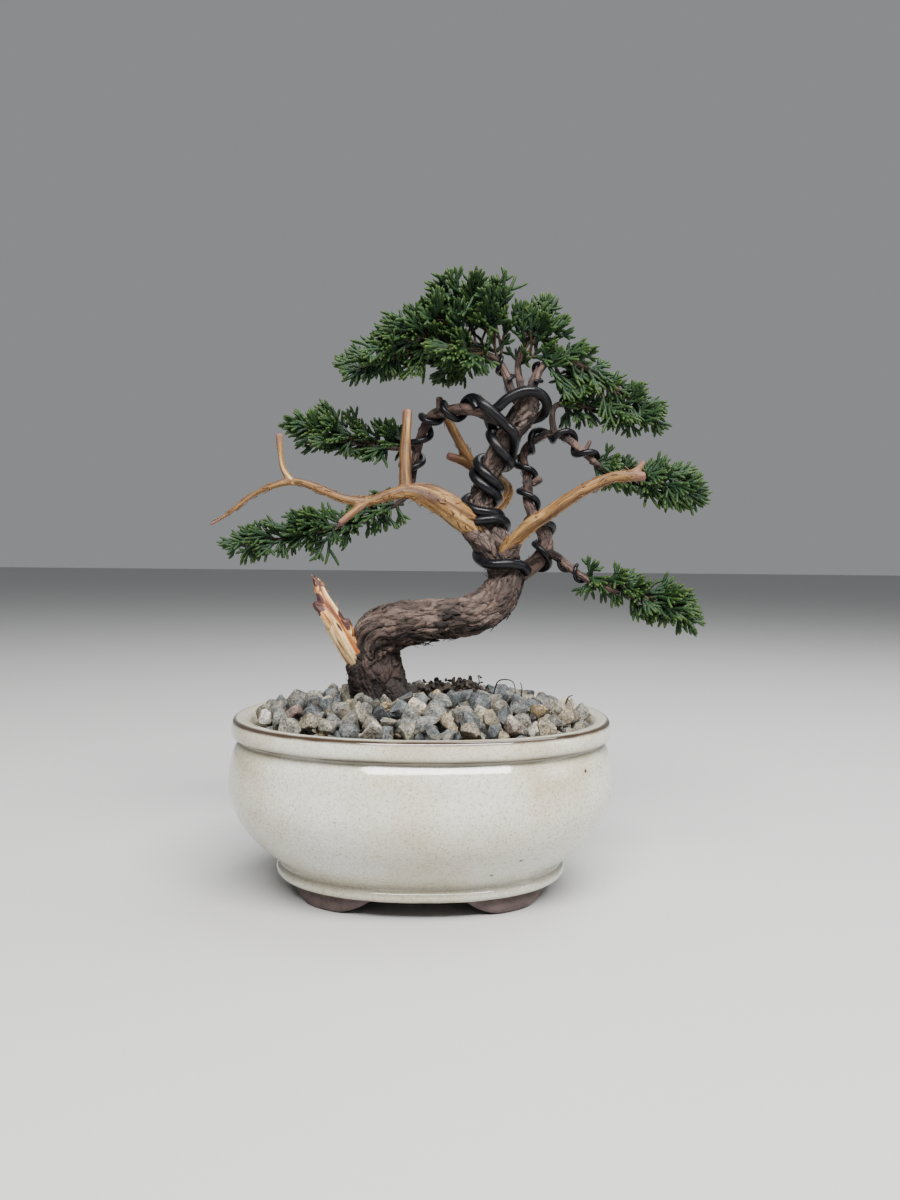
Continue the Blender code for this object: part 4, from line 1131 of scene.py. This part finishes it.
def coil_line(route, thick, begin, pitch, turns, begin_angle, hand=1, lay=0.0001):
    """The centreline of a wire wound round a limb, from a length begin along it."""
    line, radii = wood_line(route, 0.4)
    _, fronts, sideways = frames_along(line)
    along = np.concatenate([[0], np.cumsum(np.linalg.norm(np.diff(line, axis=0), axis=1))])
    turn = np.linspace(0, turns, round(turns * TURN_POINTS) + 1)
    at = begin + pitch * turn
    angle = begin_angle + hand * math.tau * turn
    slack = np.array([0.00025 * noise.noise(Vector((t * 1.7, thick * 900, begin * 80))) for t in turn])
    reach = np.interp(at, along, radii) + thick / 2 + lay + np.abs(slack)

    def read(values):
        return np.stack([np.interp(at, along, values[:, k]) for k in range(3)], 1)

    angle = angle[:, None]
    return read(line) + reach[:, None] * (np.cos(angle) * read(fronts) + np.sin(angle) * read(sideways))


look = Finish("dark_anodised_wire")
handled = look.noise(look.spot(), 210, 4)
scratches = look.noise(look.spot(), 2600, 3)
film = (0.35, (0.003, 0.003, 0.0045)), (0.60, (0.006, 0.006, 0.007)), (0.80, (0.020, 0.015, 0.012))
dulled = look.span(handled, 0.3, 0.75, 0.24, 0.42)
marks = look.bump(scratches, 0.12, 0.0002)
anodised = look.done(look.ramp(handled, *film), dulled, marks, Specular_IOR_Level=0.19)


def bend_wire(name, line, thick, *nodes):
    """A round wire along its line, with a slightly rounded snipped end."""
    tangents = frames_along(line)[0]
    nip = thick * 0.07
    line = np.vstack([line[:1] - tangents[:1] * nip, line, line[-1:] + tangents[-1:] * nip])
    radii = np.full(len(line), thick / 2)
    radii[[0, -1]] *= 0.80
    points, quads, ends = sweep(line, radii, 18 if thick > 0.002 else 12)
    mesh = mesh_of(name, points, quads, ends)
    mesh.set_sharp_from_angle(angle=math.radians(40))
    mesh.materials.append(anodised)
    return place_piece(name, mesh, "wire", *nodes)


WIRE_BEGIN, WIRE_PITCH, WIRE_SPACING = 0.1035, 0.0128, 0.0044
lower_end, upper_end = math.radians(80), math.radians(60)
upper_begin = WIRE_BEGIN + WIRE_SPACING
trunk_coil = dict(route=trunk_route, thick=WIRE, pitch=WIRE_PITCH, hand=-1, lay=-0.0001)
lower_line = coil_line(begin=WIRE_BEGIN, turns=3.1, begin_angle=lower_end, **trunk_coil)
upper_line = coil_line(begin=upper_begin, turns=2.25, begin_angle=upper_end, **trunk_coil)


def carried_on(line, *points):
    """A wire's line, led on by hand from its coil through more points, in millimetres."""
    route = np.vstack([(line[::2] - RIM_MIDDLE) / MILLIMETRE, points])
    return wood_line(np.pad(route, ((0, 0), (0, 1))), 0.6)[0]


# The lower wire loops over the sawn top; the upper one leaves the trunk along the upper left branch
lower_line = carried_on(
    lower_line[: round(2.72 * TURN_POINTS)],
    (21.6, 0.6, 96.4), (21.2, -3.2, 98.6), (24.0, -6.0, 100.8), (27.6, -6.9, 103.8), (32.8, -7.2, 105.8),
    (37.6, -5.4, 105.2), (40.2, -1.6, 102.4), (39.0, 2.6, 99.6), (35.0, 4.6, 98.2),
)
upper_line = carried_on(
    upper_line[: round(2.0 * TURN_POINTS)],
    (29.4, -5.4, 91.4), (26.4, -6.4, 95.0), (22.6, -7.2, 98.4), (19.2, -7.2, 101.2), (16.0, -4.2, 103.8),
    (13.6, -0.2, 103.4), (12.6, 2.0, 101.0),
)
bend_wire("trunk_wire_low", lower_line, WIRE, "trunk_wire_lower")
bend_wire("trunk_wire_high", upper_line, WIRE, "trunk_wire_upper")
collar_points = [
    (25, 8.4, 57, 0), (21, 7.6, 56, 0), (18.2, 4, 54.2, 0), (18, -1.5, 52, 0), (19.8, -6.2, 50.3, 0),
    (23, -8.4, 49.8, 0), (27.5, -8.4, 50, 0), (31.8, -6.3, 49.6, 0), (34.3, -3.9, 47.4, 0),
]
bend_wire("collar_wire_bent", wood_line(collar_points, 0.5)[0], WIRE, "collar_wire")
# Each branch's wire: where it begins, its pitch, its turns, the angle that it begins at, and its hand
for name, route, thick, coil in (
    ("stem", second_stem_routes[0], THIN_WIRE, (0.013, 0.0104, 7.0, math.radians(200), -1)),
    ("upper_left", upper_left_routes[0], THIN_WIRE, (0.0118, 0.0100, 4.2, 0.0)),
    ("lower_right", lower_right_routes[0], FINE_WIRE, (0.0085, 0.0072, 1.6, 0.0)),
    ("apex_left", apex_left_routes[0], FINE_WIRE, (0.0085, 0.0068, 1.6, 0.0)),
    ("apex_right", apex_right_routes[0], FINE_WIRE, (0.0085, 0.0068, 0.9, 0.0)),
):
    bend_wire(name + "_wire_wound", coil_line(route, thick, *coil), thick, name + "_wire")

# ---------------------------------------------------------------- the foliage
# Flat sprays of juniper: cord-like shoots sheathed in tiny overlapping scale leaves, forked again
# and again like fingers. They stand on thin twigs and point outward and up, paler at their tips.

LEAF = 0.00105
SHOOT_THICK = 0.00126
SHOOT_SIDES = 6


def scaly_shoot(path, thick, age):
    """One cord-like shoot: paired scale leaves give it a beaded outline. Ages run from 0, new, to 1, old."""
    length = float(np.linalg.norm(np.diff(path, axis=0), axis=1).sum())
    pairs = max(3, round(length / LEAF))
    count = 2 * pairs + 1
    t = np.linspace(0, 1, count)
    a, b, c = path
    line = np.outer((1 - t) ** 2, a) + np.outer(2 * t * (1 - t), b) + np.outer(t**2, c)
    odd = np.arange(count) % 2 == 1
    radii = thick / 2 * np.where(odd, 1.09, 0.90) * (1 - 0.30 * t**1.5)
    radii[0] *= 0.8
    radii[-2:] *= (0.80, 0.25)
    _, fronts, sideways = frames_along(line)
    steps = np.arange(count)[:, None] // 2
    turn = np.linspace(0, math.tau, SHOOT_SIDES, endpoint=False)[None, :] + steps * math.pi / 6
    spokes = np.cos(turn)[..., None] * fronts[:, None, :] + np.sin(turn)[..., None] * sideways[:, None, :]
    points = (line[:, None, :] + radii[:, None, None] * spokes).reshape(-1, 3)
    ends = np.stack([np.arange(SHOOT_SIDES)[::-1], (count - 1) * SHOOT_SIDES + np.arange(SHOOT_SIDES)])
    ages = age[0] + (age[1] - age[0]) * t + np.where(odd, -0.05, 0.08)
    return points, rings_to_quads(count, SHOOT_SIDES), ends, np.repeat(np.clip(ages, 0, 1), SHOOT_SIDES)


def spray_arcs(long, picker):
    """The shoots of one flat spray that grows along +Y: a leader, side shoots like fingers, and forks."""
    bow = picker.uniform(-0.13, 0.13) * long
    dip = picker.uniform(-0.14, 0.12) * long

    def stem_at(t):
        return np.array([bow * 4 * t * (1 - t), t * long, -dip * t * t])

    arcs = [(np.array([stem_at(0), stem_at(0.5), stem_at(1.0)]), SHOOT_THICK * 1.04, (0.85, 0.0))]
    at = picker.uniform(0.0012, 0.0022)
    hand = 1 if picker.random() < 0.5 else -1
    while at < long - 0.0026:
        spread = math.radians(picker.uniform(24, 46))
        reach = min(picker.uniform(0.0050, 0.0098), (long - at) * picker.uniform(0.85, 1.10))
        way = np.array([hand * math.sin(spread), math.cos(spread), picker.uniform(-0.20, 0.22)])
        start = stem_at(at / long)
        curl = np.array([-hand * 0.12, 0.12, picker.uniform(-0.04, 0.10)]) * reach
        path = np.array([start, start + way * reach * 0.55, start + way * reach + curl])
        arcs.append((path, SHOOT_THICK, (0.6, 0.0)))
        for fork in range(picker.integers(1, 3) if reach > 0.0055 else picker.integers(0, 2)):
            u = picker.uniform(0.22, 0.62)
            side = 1 if fork % 2 == 0 else -1
            turn = spread * hand + side * math.radians(picker.uniform(24, 42))
            small = reach * picker.uniform(0.45, 0.72)
            fork_way = np.array([math.sin(turn), math.cos(turn), picker.uniform(-0.25, 0.30)])
            base = start + way * reach * u
            path = np.array([base, base + fork_way * small * 0.55, base + fork_way * small + curl * 0.5])
            arcs.append((path, SHOOT_THICK * 0.94, (0.45, 0.0)))
        at += picker.uniform(0.0012, 0.0021)
        hand = -hand
    return arcs


SPRAY_LENGTHS = (0.0075, 0.0100, 0.0125, 0.0150, 0.0175)


def spray_kind(long, seed):
    """One spray's points, faces, end faces and ages."""
    heap = Heap()
    for path, thick, age in spray_arcs(long, np.random.default_rng(round(long * 1e5) + seed)):
        points, quads, ends, ages = scaly_shoot(path, thick, age)
        heap.put(points, quads, ends, age=ages)
    lots = heap.points, heap.sheets[::2], heap.sheets[1::2], heap.paints["age"]
    return [np.concatenate(lot) for lot in lots]


spray_kinds = [[spray_kind(long, seed) for seed in range(4)] for long in SPRAY_LENGTHS]

look = Finish("juniper_scales")
spot = look.spot()
green = look.ramp(
    look.painted("age"),
    (0.00, (0.036, 0.066, 0.012)), (0.14, (0.019, 0.045, 0.011)), (0.42, (0.010, 0.029, 0.010)),
    (0.72, (0.008, 0.020, 0.010)), (0.88, (0.030, 0.024, 0.011)), (1.00, (0.048, 0.030, 0.017)),
)
# Each spray's tone is partly random and partly painted light: sprays high in their pad are lighter and
# yellower as if lit from above, low ones darker and bluer as if in shade
tone_and_painted_light_tints = (0.0, (0.62, 0.72, 0.80)), (0.5, WHITE), (1.0, (1.45, 1.28, 0.95))
green = look.toned(0.9, green, look.painted("own_tone"), *tone_and_painted_light_tints)
dusted = (0.35, (0.74, 0.78, 0.76)), (0.52, WHITE), (0.70, (1.20, 1.18, 1.05))
green = look.toned(0.8, green, look.noise(spot, 1600, 3), *dusted)
scales = look.add("TexVoronoi", {"Vector": spot, "Scale": 1500.0}).outputs["Distance"]
juniper = look.done(green, 0.52, look.bump(scales, 0.35, 0.0002), Specular_IOR_Level=0.22)


def facing(forward, top):
    """A rotation whose Y runs forward and whose Z is as near to top as it can be."""
    forward = forward / np.linalg.norm(forward)
    across = np.cross(forward, top)
    across = across / np.linalg.norm(across)
    return np.stack([across, forward, np.cross(across, forward)], 1)


def room_ahead(start, way, middle, half):
    """How far it is from a point to the skin of an egg-shaped room, in one direction."""
    p, d = (start - middle) / half, way / half
    a, b, c = float(d @ d), float(p @ d), float(p @ p) - 1
    inside = b * b - a * c
    return (-b + math.sqrt(inside)) / a if inside > 0 else 0.0


def leafy_pad(name, node, room, twigs, sprays, seed, lift=0.12, wide=0.7):
    """A pad of foliage: sprays in a fan along its twigs, each as long as the pad's room lets it be."""
    picker = np.random.default_rng(seed)
    middle = np.array(room[0]) * MILLIMETRE + RIM_MIDDLE
    half = np.array(room[1]) * MILLIMETRE
    pad = Heap()
    spines = []
    for twig in twigs:
        line, _ = wood_line([(*point, 0.5) for point in twig], 1.0)
        line = line + 0.0003 * picker.normal(size=line.shape) * np.linspace(0, 1, len(line))[:, None]
        made, faces, caps = sweep(line, np.linspace(0.00060, 0.00034, len(line)), SHOOT_SIDES)
        pad.put(made, faces, caps, age=1.0, own_tone=0.5)
        spines.append((line, frames_along(line)[0]))
    lengths = np.array([len(line) for line, _ in spines])
    for number in range(sprays):
        which = picker.choice(len(spines), p=lengths / lengths.sum())
        line, tangents = spines[which]
        t = (number + picker.random()) / sprays
        row = int(np.clip(round(t**0.85 * (len(line) - 1)), 0, len(line) - 1))
        base, along = line[row], tangents[row]
        across = np.cross(along, [0, 0, 1.0])
        across = across / (np.linalg.norm(across) + 1e-6)
        above = np.cross(across, along)
        turn = number * math.pi * (3 - math.sqrt(5))
        lean = math.radians(picker.uniform(8, 40) if t > 0.85 else picker.uniform(22, 88))
        fanned = wide * math.cos(turn) * across + math.sin(turn) * above
        way = math.cos(lean) * along + math.sin(lean) * fanned
        way = way + np.array([0, 0, lift])
        way = way / np.linalg.norm(way)
        space = room_ahead(base, way, middle, half) * picker.uniform(0.84, 1.06)
        if number % 5 == 0:
            space *= 0.7
        want = min(space, picker.uniform(0.0095, 0.0185))
        size = int(np.argmin(np.abs(np.array(SPRAY_LENGTHS) - want)))
        foot = base + way * max(0.0, space - SPRAY_LENGTHS[size])
        top = np.array([0, -1.0, 0.62]) + 0.42 * picker.normal(size=3)
        way = way + 0.10 * picker.normal(size=3)
        shape, faces, caps, old = spray_kinds[size][picker.integers(4)]
        flip = np.array([1 if picker.random() < 0.5 else -1, 1, 1])
        placed = (shape * flip) @ facing(way, top).T + foot
        if flip[0] < 0:
            faces, caps = faces[:, ::-1], caps[:, ::-1]
        # Painted light: the higher a spray stands in its pad, the lighter its tone, on top of a random tone
        high = float((foot - middle) @ [0, 0, 1]) / half[2]
        tone = float(np.clip(0.45 + 0.20 * picker.normal() + 0.22 * high, 0, 1))
        pad.put(placed, faces, caps, age=old, own_tone=tone)
        if np.linalg.norm(foot - base) > 0.0008:
            t = np.linspace(0, 1, 6)[:, None]
            bent = base + (foot - base) * 0.5 + along * 0.12 * np.linalg.norm(foot - base)
            line = (1 - t) ** 2 * base + 2 * t * (1 - t) * bent + t**2 * (foot + way * 0.0006)
            made, faces, caps = sweep(line, np.linspace(0.00042, 0.00048, 6), SHOOT_SIDES)
            age = np.repeat(np.linspace(1.0, 0.80, 6), SHOOT_SIDES)
            pad.put(made, faces, caps, age=age, own_tone=0.5)
    mesh = pad.mesh(name)
    mesh.materials.append(juniper)
    place_piece(name, mesh, "foliage", node)


# Each pad: the middle and half sizes of its room; its sprays, seed and lift; and its twigs
PADS = [
    ("crown", ((12.5, 1, 134.5), (17, 15, 13.5)), (66, 1, 0.2), [
        [(24, 1, 117), (22, 1, 124), (16, 1, 131), (10, 0, 137)],
        [(19, 2, 119.5), (14, 5, 126), (7, 8, 130), (0, 8, 132)],
        [(15, 2, 121), (10, -4, 126), (3, -7, 129)], [(25, 1, 119), (26, 1, 127), (25, 0, 134)],
    ]),
    ("shoulder", ((-3.5, 0, 125.5), (15, 13, 9.5)), (38, 21, 0.1), [
        [(12, 3, 121.5), (5, 1, 125), (-3, 0, 127), (-11, 0, 125)],
        [(10, 3, 121.5), (2, -4, 123), (-6, -5, 122.5)],
    ]),
    ("apex_left", ((-13, 0, 117.5), (16, 13, 7.0)), (36, 2, 0.04), [
        [(5, 3, 121), (-4, 1, 120), (-13, 0, 117), (-22, 0, 113.5)],
    ]),
    ("apex_front", ((12, -9, 117.5), (13, 11, 6.5)), (28, 3, -0.16), [
        [(18, 0, 120.5), (13, -6, 119.5), (6, -12, 118)], [(20, 1, 119.5), (18, -5, 118), (16, -10, 116)],
    ]),
    ("apex_back", ((10, 13, 118.5), (13, 12, 7)), (30, 4, -0.05), [
        [(18, 3, 120.5), (13, 9, 119.5), (6, 16, 118)],
    ]),
    ("apex_fan", ((38.0, 1, 127.5), (9.6, 9, 14.0)), (17, 5, 0.1), [
        [(31, 3, 115.5), (32.5, 2, 121), (33.5, 1, 128)], [(31, 3, 116), (35, 2, 122), (38.5, 1, 130)],
        [(31.5, 3, 116.5), (37, 3, 120.5), (43, 3, 125.5)],
    ]),
    ("upper_right_inner", ((49.5, 1, 113.5), (12.5, 14, 8.5)), (34, 6, 0.0), [
        [(38, 1, 114.5), (43, 1, 117.5), (50, 1, 116.5), (57, 1, 112.5)],
        [(42, 1, 117.4), (45, 4, 113), (50, 6, 109)],
    ]),
    ("upper_right_outer", ((67.5, -1, 102.5), (11.5, 13, 7.6)), (36, 7, 0.05), [
        [(56, 1, 112.5), (63, 0, 107.5), (70, -1, 103), (75, -1, 100)],
        [(58, 1, 104), (64, 0, 101), (70, 0, 98.5)],
    ]),
    ("upper_right_low", ((52.5, 7, 101.5), (10, 10, 5.5)), (18, 8, 0.0), [
        [(44, 5, 103.5), (52, 6, 102.5), (60, 6, 101.5)],
    ]),
    ("right_inner", ((63.5, 3, 80), (9, 11, 6.5)), (24, 9, 0.12), [
        [(55, 1, 84), (61, 2, 81.5), (69, 3, 79)],
    ]),
    ("right_outer", ((81, 0, 76), (12.5, 13, 8)), (34, 10, 0.0), [
        [(68, 1, 79), (76, 0, 78), (84, 0, 75.5), (88, 0, 74)],
    ]),
    ("lower_right_inner", ((61.5, -11.5, 43.5), (9.5, 10, 5.8)), (18, 11, 0.05), [
        [(52, -7, 46.2), (58, -10, 44.5), (66, -12, 42.5)],
    ]),
    ("lower_right_outer", ((75.5, -15, 38), (11.8, 11, 7.2)), (32, 12, -0.05), [
        [(64, -12, 42.5), (71, -14, 40), (78, -15, 37), (83, -15, 34.5)],
    ]),
    ("upper_left_inner", ((-16.5, 15, 92), (10.5, 12, 8.5)), (26, 13, 0.1), [
        [(-5, 13, 90), (-11, 14.5, 91), (-19, 15, 92)],
    ]),
    ("upper_left_outer", ((-33.5, 12.5, 94), (14, 12, 8.2)), (36, 14, 0.05), [
        [(-19, 14, 91.5), (-28, 13, 93), (-37, 12.5, 95), (-43, 12, 97)],
    ]),
    ("lower_left_inner", ((-19, 16, 66), (10.5, 11, 7.2)), (24, 15, 0.05), [
        [(-8, 16, 71), (-14, 16, 68.5), (-23, 15.5, 65)],
    ]),
    ("lower_left_middle", ((-37, 14, 61.3), (12.5, 12, 7.4)), (32, 16, 0.05), [
        [(-22, 15.5, 65), (-30, 14.5, 62.5), (-38, 14, 61), (-44, 13, 59.5)],
    ]),
    ("lower_left_outer", ((-55, 12, 57), (13, 10, 6.4)), (28, 17, 0.0), [
        [(-42, 13.5, 60), (-50, 13, 58), (-58, 12.5, 56.5), (-64, 12, 56)],
    ]),
]
CROWN_PADS = ("crown", "shoulder")  # both stand on the crown's one solid
for pad_name, room, (sprays, seed, lift), twigs in PADS:
    solid = "apex_crown" if pad_name in CROWN_PADS else pad_name
    leafy_pad(pad_name + "_pad", "foliage_" + solid, room, twigs, sprays, seed, lift)
